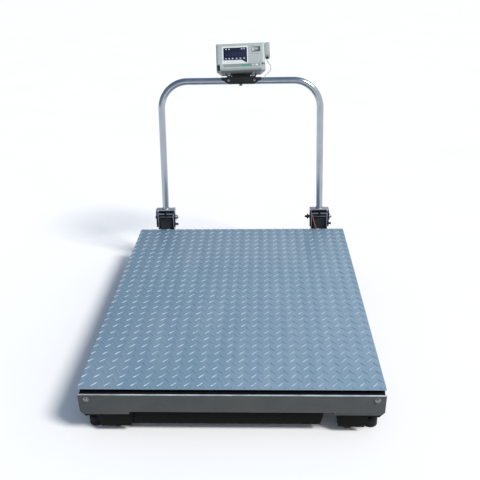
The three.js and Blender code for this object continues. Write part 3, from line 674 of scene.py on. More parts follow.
def turned(name, profile, steps=32):
    """A piece turned about Z from (radius, height) points that start and end on the axis."""
    mesh = bpy.data.meshes.new(name)
    mesh.from_pydata([(r, 0, h) for r, h in profile],
                     [(i, i + 1) for i in range(len(profile) - 1)], [])
    thing = linked(name, mesh)
    bpy.ops.object.mode_set(mode="EDIT")
    bpy.ops.mesh.select_all(action="SELECT")
    bpy.ops.mesh.spin(steps=steps, angle=2 * math.pi, center=(0, 0, 0), axis=(0, 0, 1))
    bpy.ops.mesh.select_all(action="SELECT")
    bpy.ops.mesh.remove_doubles(threshold=0.00001)
    bpy.ops.mesh.normals_make_consistent(inside=False)
    closed_up()
    return smoothed(thing, 40)


cell_finish = mottled("brushed_alloy", (90.0, 3, (1, 14, 14)),
                      (rgb(0.42, 0.43, 0.44), rgb(0.58, 0.59, 0.60)),
                      (0.30, 0.18), (0.0001, 0.25), Metallic=1.0)
potting_finish = mottled("cell_potting", (120, 3),
                         (rgb(0.55, 0.56, 0.56), rgb(0.70, 0.70, 0.69)),
                         (0.35, 0.2), (0.0004, 0.3), IOR=1.4)
button_steel = plated("button_steel", (0.60, 0.60, 0.61), 0.25)

CORNERS = ("front_left", "front_right", "rear_left", "rear_right")
for corner in CORNERS:
    from_solid(f"corner_pan_{corner}", f"pan_{corner}", 0.0013, black_coat, "frame", "black_paint")

    from_solid(f"load_cell_{corner}", f"cell_{corner}", 0.0012, cell_finish, "frame", "alloy")
    low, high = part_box(f"load_cell_{corner}")
    middle = (low + high) / 2
    outward = 1 if middle.x > 0 else -1
    inner_end = low.x if outward > 0 else high.x
    screws = set_out(button_screw(CELL_SCREW, 0.006, 0.0085, 0.0015), f"cell_screws_{corner}",
                     [(Vector((inner_end + outward * reach, middle.y, high.z)), (0, 0, 1))
                      for reach in CELL_SCREW_REACHES])
    fitted(screws, screw_zinc, "frame", "zinc")
    pocket_x = inner_end + outward * CELL_POCKET_REACH
    plug = turned(f"cell_plug_{corner}", [(0, -0.0105), (0.0088, -0.0105), (0.0088, 0.0095),
                                          (0.0070, 0.0105), (0, 0.0108)], 20)
    stood(plug, Vector((pocket_x, middle.y, middle.z)), (0, 1, 0))
    fitted(plug, potting_finish, "frame", "alloy")

    from_solid(f"load_button_{corner}", f"button_{corner}", 0.0009, button_steel, "frame", "zinc")

# ---------------------------------------------------------------- levelling feet
# A moulded rubber foot on a threaded zinc stem, screwed through the pan and locked by a nut.

FOOT_RADIUS, FOOT_HEIGHT, STEM_RADIUS, STEM_TOP = 0.029, 0.046, 0.0079, 0.160
THREAD_PITCH, THREAD_DEPTH = 0.0025, 0.0009

rubber_finish = mottled("grip_rubber", (30.0, 5),
                        (rgb(0.005, 0.005, 0.005), rgb(0.020, 0.0195, 0.018)),
                        (0.62, 0.25), (0.0003, 0.4), ramp=(0.40, 0.75), skin=(500.0, 2), IOR=1.25)
thread_zinc = plated("thread_zinc", (0.50, 0.50, 0.49), 0.38)

stem_profile = [(0, FOOT_HEIGHT + 0.002), (STEM_RADIUS, FOOT_HEIGHT + 0.002)]
for ring in range(int((STEM_TOP - FOOT_HEIGHT - 0.008) / THREAD_PITCH)):
    base = FOOT_HEIGHT + 0.004 + ring * THREAD_PITCH
    stem_profile += [(STEM_RADIUS, base), (STEM_RADIUS - THREAD_DEPTH, base + THREAD_PITCH / 2)]
stem_profile += [(STEM_RADIUS - THREAD_DEPTH, STEM_TOP - 0.001), (0, STEM_TOP)]
for corner in CORNERS:
    low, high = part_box(f"levelling_foot_{corner}")
    under = Vector(((low.x + high.x) / 2, (low.y + high.y) / 2, 0))
    foot = turned(f"foot_rubber_{corner}", [
        (0, 0.0015), (0.012, 0.0015), (0.013, 0), (0.0262, 0), (FOOT_RADIUS, 0.0025),
        (FOOT_RADIUS, 0.012), (0.0278, 0.0135), (0.0278, 0.0155), (FOOT_RADIUS, 0.017),
        (FOOT_RADIUS, 0.0385), (0.0272, 0.0435), (0.0232, 0.0455), (0.0150, FOOT_HEIGHT),
        (0, FOOT_HEIGHT)], 40)
    fitted(stood(foot, under), rubber_finish, f"foot_{corner}", "rubber",
           f"levelling_foot_{corner}")
    stem = turned(f"foot_stem_{corner}", stem_profile, 20)
    fitted(stood(stem, under), thread_zinc, f"foot_{corner}", "zinc")
    nut = disc(0.0137, 0.0078, (0, 0, FOOT_HEIGHT + 0.0002), 6)
    rounded(nut, 0.0009, 2, 20).name = f"foot_nut_{corner}"
    fitted(stood(nut, under), thread_zinc, f"foot_{corner}", "zinc")

# ---------------------------------------------------------------- casters
# Small swivel casters: a blacked fork with its race, and a black wheel with a groove round its
# tread and a dark grey hub on the axle.

WHEEL_RADIUS, WHEEL_HALF, AXLE_BORE = 0.030, 0.014, 0.0053
TYRE_BORE = AXLE_BORE + 0.006
TYRE_OUTLINE = [(TYRE_BORE, WHEEL_HALF), (0.0225, WHEEL_HALF), (0.0262, WHEEL_HALF - 0.001),
                (0.0286, WHEEL_HALF - 0.003), (WHEEL_RADIUS, WHEEL_HALF - 0.0065),
                (WHEEL_RADIUS, 0.0012)]
HUB_OUTLINE = [(AXLE_BORE, WHEEL_HALF + 0.002), (0.0100, WHEEL_HALF + 0.002),
               (0.0110, WHEEL_HALF + 0.0006), (0.0195, WHEEL_HALF + 0.0006),
               (0.0200, WHEEL_HALF - 0.0010), (0.0118, WHEEL_HALF - 0.0010)]


def mirrored(half, *middle):
    """A ring's closed outline from its upper half and any points on the mid-plane."""
    lower = [(radius, -height) for radius, height in half]
    return [*lower, *middle, *reversed(half), lower[0]]


hub_finish = mottled("hub_plastic", (80, 4), (rgb(0.10, 0.10, 0.10), rgb(0.17, 0.17, 0.165)),
                     (0.45, 0.2), (0.0002, 0.3), IOR=1.48)
for corner in CORNERS:
    from_solid(f"caster_fork_{corner}", f"fork_{corner}", 0.0009, black_coat,
               f"caster_{corner}", "black_paint")

    low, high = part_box(f"caster_wheel_{corner}")
    hub = (low + high) / 2
    tyre = turned(f"wheel_tyre_{corner}", mirrored(TYRE_OUTLINE, (0.0293, 0)), 48)
    fitted(stood(tyre, hub, (1, 0, 0)), rubber_finish, f"wheel_{corner}", "rubber",
           f"caster_wheel_{corner}")
    core = turned(f"wheel_hub_{corner}", mirrored(HUB_OUTLINE), 32)
    fitted(stood(core, hub, (1, 0, 0)), hub_finish, f"wheel_{corner}", "black_plastic")

# A blacked 4 mm apron bolted to each front pan shields the caster behind it.
APRON_FRONT, APRON_BACK = 0.0016, 0.0057
APRON_EDGE = {"left": 0.400, "right": 0.420}
pan_top, pan_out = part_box("corner_pan_front_right")[1].z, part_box("corner_pan_front_right")[1].x
for side, sign in (("left", -1), ("right", 1)):
    start = APRON_EDGE[side]
    outline = [(start - 0.020, pan_top - 0.001), (start + 0.002, 0.030), (0.524, 0.027),
               (0.538, 0.076), (pan_out - 0.003, pan_top - 0.001)]
    mesh = bpy.data.meshes.new(f"caster_apron_{side}")
    mesh.from_pydata([(sign * x, deck_front + APRON_FRONT, z) for x, z in outline], [],
                     [range(len(outline))])
    apron = linked(mesh.name, mesh)
    choose(apron, "faces", lambda place, facing: True)
    extruded((0, APRON_BACK - APRON_FRONT, 0))
    bpy.ops.mesh.select_all(action="SELECT")
    bpy.ops.mesh.normals_make_consistent(inside=False)
    closed_up()
    rounded(apron, 0.0010)
    bolts = set_out(button_screw(0.0042, 0.0026, 0.0056, 0.0008), "apron_bolts", [
        (Vector((sign * x, deck_front + APRON_FRONT, 0.0835)), (0, -1, 0))
        for x in (start + 0.010, 0.520, 0.578)])
    fitted(joined(mesh.name, [apron, bolts]), black_coat, "frame", "black_paint")

# ---------------------------------------------------------------- junction box
# A die-cast summing box under the deck at the rear rail: four cable entries and a screwed lid.

LID_SCREW_IN = 0.009

cast_alloy = plated("cast_alloy", (0.40, 0.41, 0.42), 0.48, 140.0, 0.5)
from_solid("junction_box", "junction_tray", 0.0012, cast_alloy, "frame", "alloy")
from_solid("junction_lid", "junction_cover", 0.0010, cast_alloy, "frame", "alloy")
low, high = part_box("junction_lid")
lid_screws = set_out(button_screw(0.0035, 0.0022, 0.0048, 0.0008), "junction_screws", [
    (Vector((x, y, high.z)), (0, 0, 1))
    for x in (low.x + LID_SCREW_IN, high.x - LID_SCREW_IN)
    for y in (low.y + LID_SCREW_IN, high.y - LID_SCREW_IN)])
fitted(lid_screws, screw_zinc, "frame", "zinc")

# ---------------------------------------------------------------- hinge bases
# Each base is a 5 mm channel bolted to the rear rail, with a dark lined recess in front of its web,
# a rubber pad on its top and a bumper at the pad's front edge. The near-black of the lining, the
# recess pad and the top pad is painted shade, in the recess and under the clevis's top plate. The
# handrail's clevis fits over it.

LINER = 0.0010
BASE_HALF, BASE_WALL = 0.048, 0.005
PAD_HALF, PAD_DEEP, PAD_BELOW_PIVOT = 0.034, 0.0125, 0.0085
TOP_PAD_FRONT, TOP_PAD_BACK, TOP_PAD_SHEET = -0.0185, 0.0205, 0.0042
BUMPER_HALF, BUMPER_FRONT, BUMPER_BACK = 0.0075, -0.0232, -0.0065

bracket_steel = Finish("bracket_steel", Metallic=1.0)
mill = bracket_steel.grain(60.0, 3, (1, 1, 6))
smear = bracket_steel.ramp(bracket_steel.grain(18.0, 5), 0.45, 0.78)
tinted = bracket_steel.between(mill, rgb(0.40, 0.42, 0.46), rgb(0.60, 0.61, 0.66))
bracket_finish = bracket_steel.feed(
    Base_Color=bracket_steel.between(smear * 0.5, tinted, rgb(0.22, 0.24, 0.28)),
    Roughness=0.26 + 0.22 * smear + 0.08 * mill,
    Normal=bracket_steel.relief(mill, 0.0002, 0.25),
)
recess_shade_finish = powder_coat("recess_shade_lining", (0.012, 0.014, 0.021), rgb(0.05, 0.05, 0.055),
                           0.2, 0.5)
for side in ("left", "right"):
    from_solid(f"hinge_base_{side}", f"base_channel_{side}", 0.0014, bracket_finish,
               "frame", "stainless")
    low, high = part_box(f"hinge_base_{side}")
    mid = (low.x + high.x) / 2
    web_face = pivot_y - 0.004
    floor_z, roof_z = deck_high.z - 0.011, high.z - BASE_WALL - 0.0005
    reach = BASE_HALF - BASE_WALL - 0.0006
    lining = block(f"recess_shade_lining_{side}", (mid - reach, web_face - LINER, floor_z),
                   (mid + reach, web_face - 0.0001, roof_z))
    stepped(lining, (0, -1, 0), 0.0035, (0, 0.0005, 0))
    fitted(rounded(lining, 0.0003), recess_shade_finish, "frame", "inner_paint")
    pad = block(f"recess_pad_{side}", (mid - PAD_HALF, web_face - PAD_DEEP, floor_z + 0.001),
                (mid + PAD_HALF, web_face - LINER - 0.0001, pivot_z - PAD_BELOW_PIVOT))
    stepped(pad, (0, -1, 0), 0.004, (0, 0.0015, 0), walled=True)
    fitted(rounded(pad, 0.0010), recess_shade_finish, "frame", "inner_paint")
    pad = block(f"base_top_shade_pad_{side}",
                (mid - BASE_HALF + 0.003, pivot_y + TOP_PAD_FRONT, high.z),
                (mid + BASE_HALF - 0.003, pivot_y + TOP_PAD_BACK, high.z + TOP_PAD_SHEET))
    stepped(pad, (0, 0, 1), 0.003, (0, 0, 0.0008))
    fitted(rounded(pad, 0.0008), rubber_finish, "frame", "rubber")
    bumper = block(f"base_bumper_{side}",
                   (mid - BUMPER_HALF, pivot_y + BUMPER_FRONT, high.z - 0.019),
                   (mid + BUMPER_HALF, pivot_y + BUMPER_BACK, high.z + 0.0065))
    tapered(bumper, (0, 0, 1), (0.86, 0.86, 1), (mid, pivot_y - 0.015, high.z))
    fitted(rounded(bumper, 0.0016, 3), rubber_finish, "frame", "rubber")

# ---------------------------------------------------------------- pivot bolts, clamp knob, lock pins
# A 12 mm hinge bolt runs through each clevis and base, its head on the left, its boss and domed nut
# on the right. A black winged knob clamps the right one, and each base has a lock pin with a knob.

BOLT = 0.006
WASHER_RIM = {"left": 0.0150, "right": 0.0215}


def hexagon(across, depth, place):
    """A hex head or nut with chamfered corners, standing on a place."""
    return rounded(disc(across / math.sqrt(3), depth, place, 6), across * 0.05, 2, 20)


for side in ("left", "right"):
    low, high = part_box(f"pivot_bolt_{side}")
    clevis_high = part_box(f"hinge_clevis_{side}")[1]
    start = Vector((low.x, pivot_y, pivot_z))
    span = high.x - low.x
    shank = rounded(disc(BOLT, span - 0.004, (0, 0, 0.002)), 0.0006)
    outside = clevis_high.x - low.x + 0.0003
    rim = WASHER_RIM[side]
    boss = turned("boss", [(0, outside), (rim, outside), (rim, outside + 0.0040),
                           (rim - 0.0015, outside + 0.0052), (0.0125, outside + 0.0058),
                           (0.0115, outside + 0.009), (0, outside + 0.009)])
    nut = hexagon(0.0165, 0.0062, (0, 0, outside + 0.009))
    dome = turned("dome", [(0, outside + 0.0152), (0.0066, outside + 0.0152),
                           (0.0062, outside + 0.0165), (0.0040, outside + 0.0171),
                           (0, outside + 0.0172)])
    if side == "left":
        head = hexagon(0.0182, 0.0078, (0, 0, 0.0002))
    else:
        head = rounded(disc(0.010, 0.0038, (0, 0, 0.0002)), 0.0006)
    bolt = stood(joined(f"hinge_bolt_{side}", [shank, boss, nut, dome, head]), start, (1, 0, 0))
    fitted(smoothed(bolt), screw_zinc, "frame", "zinc", f"pivot_bolt_{side}")

    pin_low, pin_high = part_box(f"lock_pin_{side}")
    pin_y, pin_z = (pin_low.y + pin_high.y) / 2, (pin_low.z + pin_high.z) / 2
    pin = turned(f"pull_knob_{side}", [
        (0, 0), (0.0039, 0), (0.0039, 0.0075), (0.0068, 0.0075), (0.0068, 0.0115),
        (0.0042, 0.0122), (0.0042, 0.0148), (0.0074, 0.0155), (0.0084, 0.0172),
        (0.0084, 0.0200), (0.0070, 0.0216), (0, 0.0220)], 28)
    stood(pin, Vector((pin_low.x, pin_y, pin_z)), (1, 0, 0))
    fitted(pin, black_coat, f"lock_pin_{side}", "black_paint", f"lock_pin_{side}")

moulded_finish = mottled("moulded_black", (35.0, 4),
                         (rgb(0.010, 0.011, 0.013), rgb(0.030, 0.031, 0.034)),
                         (0.36, 0.25), (0.0002, 0.4), skin=(700.0, 2), IOR=1.48)
low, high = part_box("clamp_knob")
knob = turned("clamp_knob_hub", [
    (0, 0), (0.008, 0), (0.0106, 0.0015), (0.0110, 0.0035), (0.0110, 0.0095), (0.0092, 0.0125),
    (0.0070, 0.0145), (0.0058, 0.0185), (0.0050, 0.0220), (0.0034, 0.0243), (0, 0.0250)], 28)
wings = block("clamp_knob_wings", (-0.0035, -0.016, 0.003), (0.0035, 0.016, 0.011))
choose(wings, "faces", lambda place, facing: abs(facing.y) > 0.9)
bpy.ops.transform.resize(value=(0.72, 1, 0.72), center_override=(0, 0, 0.007))
closed_up()
rounded(wings, 0.0016, 3, 25)
knob = joined("clamp_knob_moulded", [knob, wings])
stood(knob, Vector((high.x, pivot_y, pivot_z)), (-1, 0, 0))
fitted(knob, moulded_finish, "clamp_knob", "black_paint", "clamp_knob")

# ---------------------------------------------------------------- hinge clevises
# The folded 6 mm clevis under each post is welded to it all round, and drops over the base. Black
# rubber guards are pressed on the front edges of its cheeks.

WELD_RADIUS, WELD_BEAD = 0.0205, 0.0036
CHEEK_IN, CHEEK_OUT, CHEEK_FRONT = 0.0500, 0.0560, -0.0240
CLEVIS_TOP = 0.052

weld_metal = plated("weld_metal", (0.46, 0.46, 0.50), 0.38, 260.0, 0.5)
for side in ("left", "right"):
    from_solid(f"hinge_clevis_{side}", f"clevis_{side}", 0.0016, bracket_finish,
               "handrail", "stainless")
    low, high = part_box(f"hinge_clevis_{side}")
    mid = (low.x + high.x) / 2 - handrail_x
    guards = []
    for hand in (-1, 1):
        inner, outer = sorted((hand * (CHEEK_IN - 0.0010), hand * (CHEEK_OUT + 0.0002)))
        guard = block("guard", (mid + inner, CHEEK_FRONT - 0.0016, -0.0560),
                      (mid + outer, CHEEK_FRONT + 0.0055, 0.0445))
        inner, outer = sorted((hand * CHEEK_IN, hand * (CHEEK_OUT + 0.01)))
        hollowed(guard, block("cheek", (mid + inner, CHEEK_FRONT, -0.1),
                              (mid + outer, CHEEK_FRONT + 0.02, 0.1)))
        guards.append(rounded(guard, 0.0004))
    guards = joined(f"clevis_edge_guards_{side}", guards)
    guards.data.transform(handrail_frame)
    fitted(guards, rubber_finish, "handrail", "rubber")
    bpy.ops.object.select_all(action="DESELECT")
    bpy.ops.mesh.primitive_torus_add(major_segments=56, minor_segments=10,
                                     major_radius=WELD_RADIUS, minor_radius=WELD_BEAD)
    weld = bpy.context.object
    weld.name = f"post_weld_{side}"
    choose(weld, "verts", lambda place, facing: True)
    bpy.ops.transform.vertex_random(offset=0.0009, seed=3)
    bpy.ops.mesh.vertices_smooth(factor=0.5, repeat=2)
    closed_up()
    weld.data.transform(handrail_frame @ Matrix.Translation((mid, 0, CLEVIS_TOP + 0.0014)))
    fitted(smoothed(weld, 80), weld_metal, "handrail", "stainless")

# ---------------------------------------------------------------- handrail tube
# One 38 mm stainless tube, polished along its length and bent twice over a 150 mm former.

TUBE_RADIUS, RAIL_HEIGHT, TOP_HALF, BEND = 0.019, 0.792, 0.444, 0.150
HINGE_X = 0.456

polish = Finish("polished_tube", Metallic=1.0)
stroke = polish.grain(22.0, 3, (1, 1, 0.06))
print_marks = polish.ramp(polish.grain(7.0, 5), 0.48, 0.74)
tube_base = polish.between(stroke, rgb(0.34, 0.37, 0.41), rgb(0.49, 0.52, 0.56))
tube_finish = polish.feed(
    Base_Color=polish.between(print_marks * 0.35, tube_base, rgb(0.28, 0.30, 0.33)),
    Roughness=0.13 + 0.10 * stroke + 0.10 * print_marks,
    Normal=polish.relief(polish.grain(260.0, 2, (1, 1, 0.05)), 0.00008, 0.2),
)


def post_x(z):
    return HINGE_X - (HINGE_X - TOP_HALF) * z / RAIL_HEIGHT


pull = 0.5523 * BEND
bend_z, bend_x = RAIL_HEIGHT - BEND, TOP_HALF - BEND
half_line = [((post_x(0.0523), 0.0523), None, None),
             ((post_x(bend_z), bend_z), None, (post_x(bend_z + pull), bend_z + pull)),
             ((bend_x, RAIL_HEIGHT), (bend_x + pull, RAIL_HEIGHT), None)]
curve = bpy.data.curves.new("handrail_line", "CURVE")
curve.dimensions, curve.bevel_depth, curve.bevel_resolution = "3D", TUBE_RADIUS, 10
curve.resolution_u, curve.use_fill_caps = 20, True
spline = curve.splines.new("BEZIER")
spline.bezier_points.add(5)
line = [((-x, z), before and (-before[0], before[1]), after and (-after[0], after[1]))
        for (x, z), before, after in half_line]
line += [(point, after, before) for point, before, after in reversed(half_line)]
for index, (point, before, after) in enumerate(line):
    knot = spline.bezier_points[index]
    knot.handle_left_type = knot.handle_right_type = "FREE"
    here = Vector((point[0], 0, point[1]))
    knot.co = here
    last = line[max(index - 1, 0)][0]
    following = line[min(index + 1, len(line) - 1)][0]
    toward_last = here.lerp(Vector((last[0], 0, last[1])), 1 / 3)
    toward_next = here.lerp(Vector((following[0], 0, following[1])), 1 / 3)
    knot.handle_left = Vector((before[0], 0, before[1])) if before else toward_last
    knot.handle_right = Vector((after[0], 0, after[1])) if after else toward_next
linked("handrail_polished_tube", curve)
bpy.ops.object.convert(target="MESH")
tube = bpy.context.object
tube.data.transform(handrail_frame)
fitted(smoothed(tube, 50), tube_finish, "handrail", "stainless", "handrail_tube")

# ---------------------------------------------------------------- saddle on the top tube
# A black folded saddle sits over the top tube, with an ear for each lug of the indicator and a
# rubber cushion on its top. Its apron has two screws, and a red-capped screw clamps it from below.

SADDLE_X, SADDLE_FRONT = 0.007, -0.024
EAR_OUT, EAR_Y, EAR_Z = 0.0794, -0.0107, 0.8236
CUSHION_HALF, CUSHION_FOOT, CUSHION_TOP = 0.052, 0.8149, 0.8262

saddle_coat = powder_coat("saddle_coat", (0.0125, 0.0150, 0.0165), rgb(0.05, 0.05, 0.048),
                          0.2, 0.5, index=1.3)
from_solid("saddle_bracket", "indicator_saddle", 0.0011, saddle_coat, "handrail", "black_paint")


def on_handrail(thing):
    thing.data.transform(handrail_frame)
    return thing


apron_screws = set_out(button_screw(0.0050, 0.0032, 0.0066, 0.0010), "apron_screws", [
    (Vector((SADDLE_X + x, SADDLE_FRONT, RAIL_HEIGHT + 0.006)), (0, -1, 0))
    for x in (-0.070, 0.072)])
fitted(on_handrail(apron_screws), screw_zinc, "handrail", "zinc")
ear_screws = set_out(button_screw(0.0048, 0.0030, 0.0058, 0.0008), "ear_screws", [
    (Vector((SADDLE_X + side * EAR_OUT, EAR_Y, EAR_Z)), (side, 0, 0)) for side in (-1, 1)])
fitted(on_handrail(ear_screws), screw_zinc, "handrail", "zinc")

cushion = block("saddle_cushion", (SADDLE_X - CUSHION_HALF, -0.0235, CUSHION_FOOT),
                (SADDLE_X + CUSHION_HALF, -0.0050, CUSHION_TOP))
tapered(cushion, (0, 0, 1), (0.97, 0.80, 1), (SADDLE_X, -0.0200, CUSHION_TOP))
fitted(on_handrail(rounded(cushion, 0.0012, 3)), rubber_finish, "handrail", "rubber")

red_finish = mottled("red_cap_plastic", (60, 3), (rgb(0.16, 0.010, 0.018), rgb(0.26, 0.016, 0.028)),
                     (0.28, 0.2), (0.0002, 0.2), IOR=1.48)
cap = turned("clamp_screw_cap", [
    (0, -0.0258), (0.0070, -0.0258), (0.0088, -0.0254), (0.0100, -0.0243), (0.0100, -0.0222),
    (0.0092, -0.0212), (0.0050, -0.0209), (0.0050, -0.0193), (0, -0.0193)], 32)
cap.data.transform(Matrix.Translation((0.003, -0.002, RAIL_HEIGHT)))
fitted(on_handrail(cap), red_finish, "saddle_screw", "red_plastic", "saddle_screw")

# ---------------------------------------------------------------- indicator case
# A two-part moulded case, front and rear shells parted 28 mm back. The front shell steps in below
# the display, and a dark cover closes the underside; the cover's dark grey is painted shade on the
# downward face. Everything is drawn facing -Y from the face's lower edge and then tipped back on
# the saddle.

FACE_WIDTH, FACE_HEIGHT, FACE_PROUD, FRONT_DEPTH, CASE_DEPTH = 0.268, 0.157, 0.009, 0.028, 0.080
FACE_TILT, FACE_ROLL = math.radians(35), math.radians(1.8)
STEP_X, STEP_LEFT_Z, STEP_RIGHT_Z = 0.1135, 0.033, 0.036
WINDOW = {"left": -0.094, "right": 0.036, "bottom": 0.037, "top": 0.128}
KEYS_X, KEY_Z, KEY_WIDTH, KEY_HEIGHT = (0.014, 0.031, 0.048, 0.067, 0.086), 0.024, 0.014, 0.011
CASE_WALL, SHOULDER = 0.0075, 0.041
INSIDE_HALF, INSIDE_LOW_HALF, LUG_X, LUG_GAP_HALF = 0.1265, 0.1105, 0.067, 0.010

indicator_frame = (
    handrail_frame @ Matrix.Translation((SADDLE_X, -0.048, RAIL_HEIGHT + 0.067))
    @ Matrix.Rotation(LEAN - FACE_TILT, 4, "X") @ Matrix.Rotation(-FACE_ROLL, 4, "Y"))


def case_piece(thing, finish, slot, *stood_for):
    """Fits a piece drawn in the face's own frame to the indicator."""
    thing.data.transform(indicator_frame)
    return fitted(thing, finish, "indicator", slot, *stood_for)


def moulding(name, light, dark, roughness=0.42):
    """Fine-textured moulded plastic, yellowed and hand-soiled in places."""
    plastic = Finish(name, IOR=1.49)
    aged = plastic.grain(9.0, 4)
    soil = plastic.ramp(plastic.grain(34.0, 5), 0.50, 0.78)
    base = plastic.between(aged, light, dark)
    base = plastic.between(soil * 0.22, base, rgb(*(0.55 * c for c in dark[:3])))
    return plastic.feed(
        Base_Color=base,
        Roughness=roughness + 0.16 * soil,
        Normal=plastic.relief(plastic.grain(1300.0, 2), 0.00015, 0.4),
    )


case_finish = moulding("case_plastic", rgb(0.41, 0.455, 0.445), rgb(0.34, 0.375, 0.365))
half_w = FACE_WIDTH / 2
shell = block("indicator_front_shell", (-half_w, FACE_PROUD, 0),
              (half_w, FRONT_DEPTH, FACE_HEIGHT))
choose(shell, "faces", lambda place, facing: facing.y < -0.9)
extruded((0, -FACE_PROUD, 0))
bpy.ops.transform.resize(value=(1 - 2 * FACE_PROUD / FACE_WIDTH, 1, 1 - 2 * FACE_PROUD / FACE_HEIGHT),
                         center_override=(0, 0, FACE_HEIGHT / 2))
closed_up()
rounded(shell, 0.0042, 4, 20)


def key_openings(margin):
    """Cutters for the five keys' openings, a margin wider than the keys all round."""
    half_width, half_height = KEY_WIDTH / 2 + margin, KEY_HEIGHT / 2 + margin
    return [block("key_opening", (x - half_width, -0.01, KEY_Z - half_height),
                  (x + half_width, 0.01, KEY_Z + half_height)) for x in KEYS_X]


hollowed(
    shell,
    block("step_left", (-0.2, -0.02, -0.02), (-STEP_X, 0.0145, STEP_LEFT_Z)),
    block("step_right", (STEP_X, -0.02, -0.02), (0.2, 0.0145, STEP_RIGHT_Z)),
    block("inside", (-INSIDE_HALF, 0.005, SHOULDER - 0.001),
          (INSIDE_HALF, 0.05, FACE_HEIGHT - CASE_WALL)),
    block("inside_low", (-INSIDE_LOW_HALF, 0.005, 0.005), (INSIDE_LOW_HALF, 0.05, SHOULDER)),
    block("opening", (WINDOW["left"] - 0.0004, -0.02, WINDOW["bottom"] - 0.0004),
          (WINDOW["right"] + 0.0004, 0.006, WINDOW["top"] + 0.0004)),
    *key_openings(0.0005),
)
smoothed(shell, 40)
case_piece(shell, case_finish, "case_plastic", "indicator_front_case")

rear_finish = moulding("rear_plastic", rgb(0.40, 0.44, 0.43), rgb(0.30, 0.33, 0.33))
from_solid("indicator_rear_case", "indicator_rear_shell", 0.0020, rear_finish,
           "indicator", "case_back", 3)

underside_shade_finish = moulding("underside_shade_plastic", rgb(0.200, 0.215, 0.208), rgb(0.150, 0.160, 0.156), 0.5)
cover = block("indicator_underside_shade_cover", (-0.112, 0.011, -0.0016), (0.112, 0.0775, -0.0002))
tapered(cover, (0, 1, 0), (0.92, 1, 1), (0, 0, 0))
hollowed(cover, *[
    block("lug_gap", (x - LUG_GAP_HALF, 0.040, -0.01), (x + LUG_GAP_HALF, 0.060, 0.01))
    for x in (-LUG_X, LUG_X)])
case_piece(rounded(cover, 0.0006), underside_shade_finish, "case_back")

# The dark teal plug fills only the left step: its colour is painted shade on the case's shaded left
# side.
left_step_shade_finish = moulding("left_step_shade_plastic", rgb(0.020, 0.045, 0.055),
                       rgb(0.012, 0.025, 0.032), 0.4)
plug = block("indicator_left_step_shade_plug", (-half_w + 0.004, 0.0112, 0.003),
             (-STEP_X - 0.0006, 0.0144, STEP_LEFT_Z - 0.001))
case_piece(rounded(plug, 0.0012, 3), left_step_shade_finish, "case_back")

# ---------------------------------------------------------------- display
# A dark blue tinted pane in a pale raised surround. Behind it are six unlit seven-bar digits and
# rows of small printed marks; a pale strip is printed along its foot.

pane_finish = mottled("display_pane", (14.0, 3),
                      (rgb(0.003, 0.005, 0.016), rgb(0.009, 0.011, 0.038)),
                      (0.08, 0.06), (0.0002, 0.1), IOR=1.52, Coat_Weight=0.3, Coat_Roughness=0.05)
from_solid("display_window", "display_pane", 0.0003, pane_finish, "indicator", "display")

surround_finish = moulding("surround_plastic", rgb(0.72, 0.75, 0.71), rgb(0.60, 0.63, 0.60), 0.35)
outer = block("display_surround", (-0.1025, -0.0011, 0.0335), (0.0400, 0.0012, 0.1365))
hollowed(rounded(outer, 0.0014, 3),
         block("pane_gap", (WINDOW["left"] + 0.0004, -0.02, WINDOW["bottom"] + 0.0004),
               (WINDOW["right"] - 0.0004, 0.02, WINDOW["top"] - 0.0004)))
case_piece(smoothed(outer, 40), surround_finish, "case_plastic")

PANE_FRONT, INK = 0.0012, 0.0003
DIGITS, DIGIT_X, DIGIT_Z, DIGIT_PITCH = 6, -0.078, 0.0785, 0.0162
DIGIT_WIDTH, DIGIT_HEIGHT, BAR = 0.0105, 0.024, 0.0021


def printed(name, low, high):
    """A patch of ink on the pane, from corner to corner in X and Z."""
    (x0, z0), (x1, z1) = low, high
    return block(name, (x0, PANE_FRONT - INK, z0), (x1, PANE_FRONT + 0.0001, z1))


bars = []
for digit in range(DIGITS):
    x, z = DIGIT_X + digit * DIGIT_PITCH, DIGIT_Z
    for row in (0, 1, 2):
        foot = z + row * (DIGIT_HEIGHT - BAR) / 2
        bars.append(printed("bar", (x + BAR, foot), (x + DIGIT_WIDTH - BAR, foot + BAR)))
    for column in (x, x + DIGIT_WIDTH - BAR):
        for row in (0, 1):
            foot = z + BAR / 2 + row * (DIGIT_HEIGHT - BAR) / 2 + 0.0006
            bars.append(printed("bar", (column, foot),
                                (column + BAR, foot + (DIGIT_HEIGHT - BAR) / 2 - 0.0012)))
    bars.append(printed("bar", (x + DIGIT_WIDTH + 0.0012, z), (x + DIGIT_WIDTH + 0.0034, z + BAR)))
digits = joined("display_digits", bars)
digit_finish = moulding("digit_ink", rgb(0.030, 0.032, 0.085), rgb(0.022, 0.022, 0.060), 0.3)
case_piece(digits, digit_finish, "display")

marks = [printed("mark", (x - 0.0038, 0.1170), (x + 0.0038, 0.1232))
         for x in (-0.078, -0.062, 0.007, 0.021)]
marks += [printed("mark", (x - 0.0042, 0.0620), (x + 0.0042, 0.0685))
          for x in (-0.080, -0.0625, -0.0435, -0.022, -0.001, 0.0195)]
mark_finish = moulding("mark_ink", rgb(0.55, 0.57, 0.66), rgb(0.40, 0.42, 0.52), 0.4)
case_piece(joined("display_marks", marks), mark_finish, "display")

strip = printed("display_foot_strip", (WINDOW["left"] + 0.0006, WINDOW["bottom"] + 0.0006),
                (WINDOW["right"] - 0.0006, 0.0560))
choose(strip, "verts", lambda place, facing: place.x > 0 and place.z > 0.05)
bpy.ops.transform.translate(value=(-0.030, 0, 0))
closed_up()
strip_finish = moulding("strip_ink", rgb(0.66, 0.70, 0.70), rgb(0.56, 0.60, 0.60), 0.3)
case_piece(strip, strip_finish, "case_plastic")

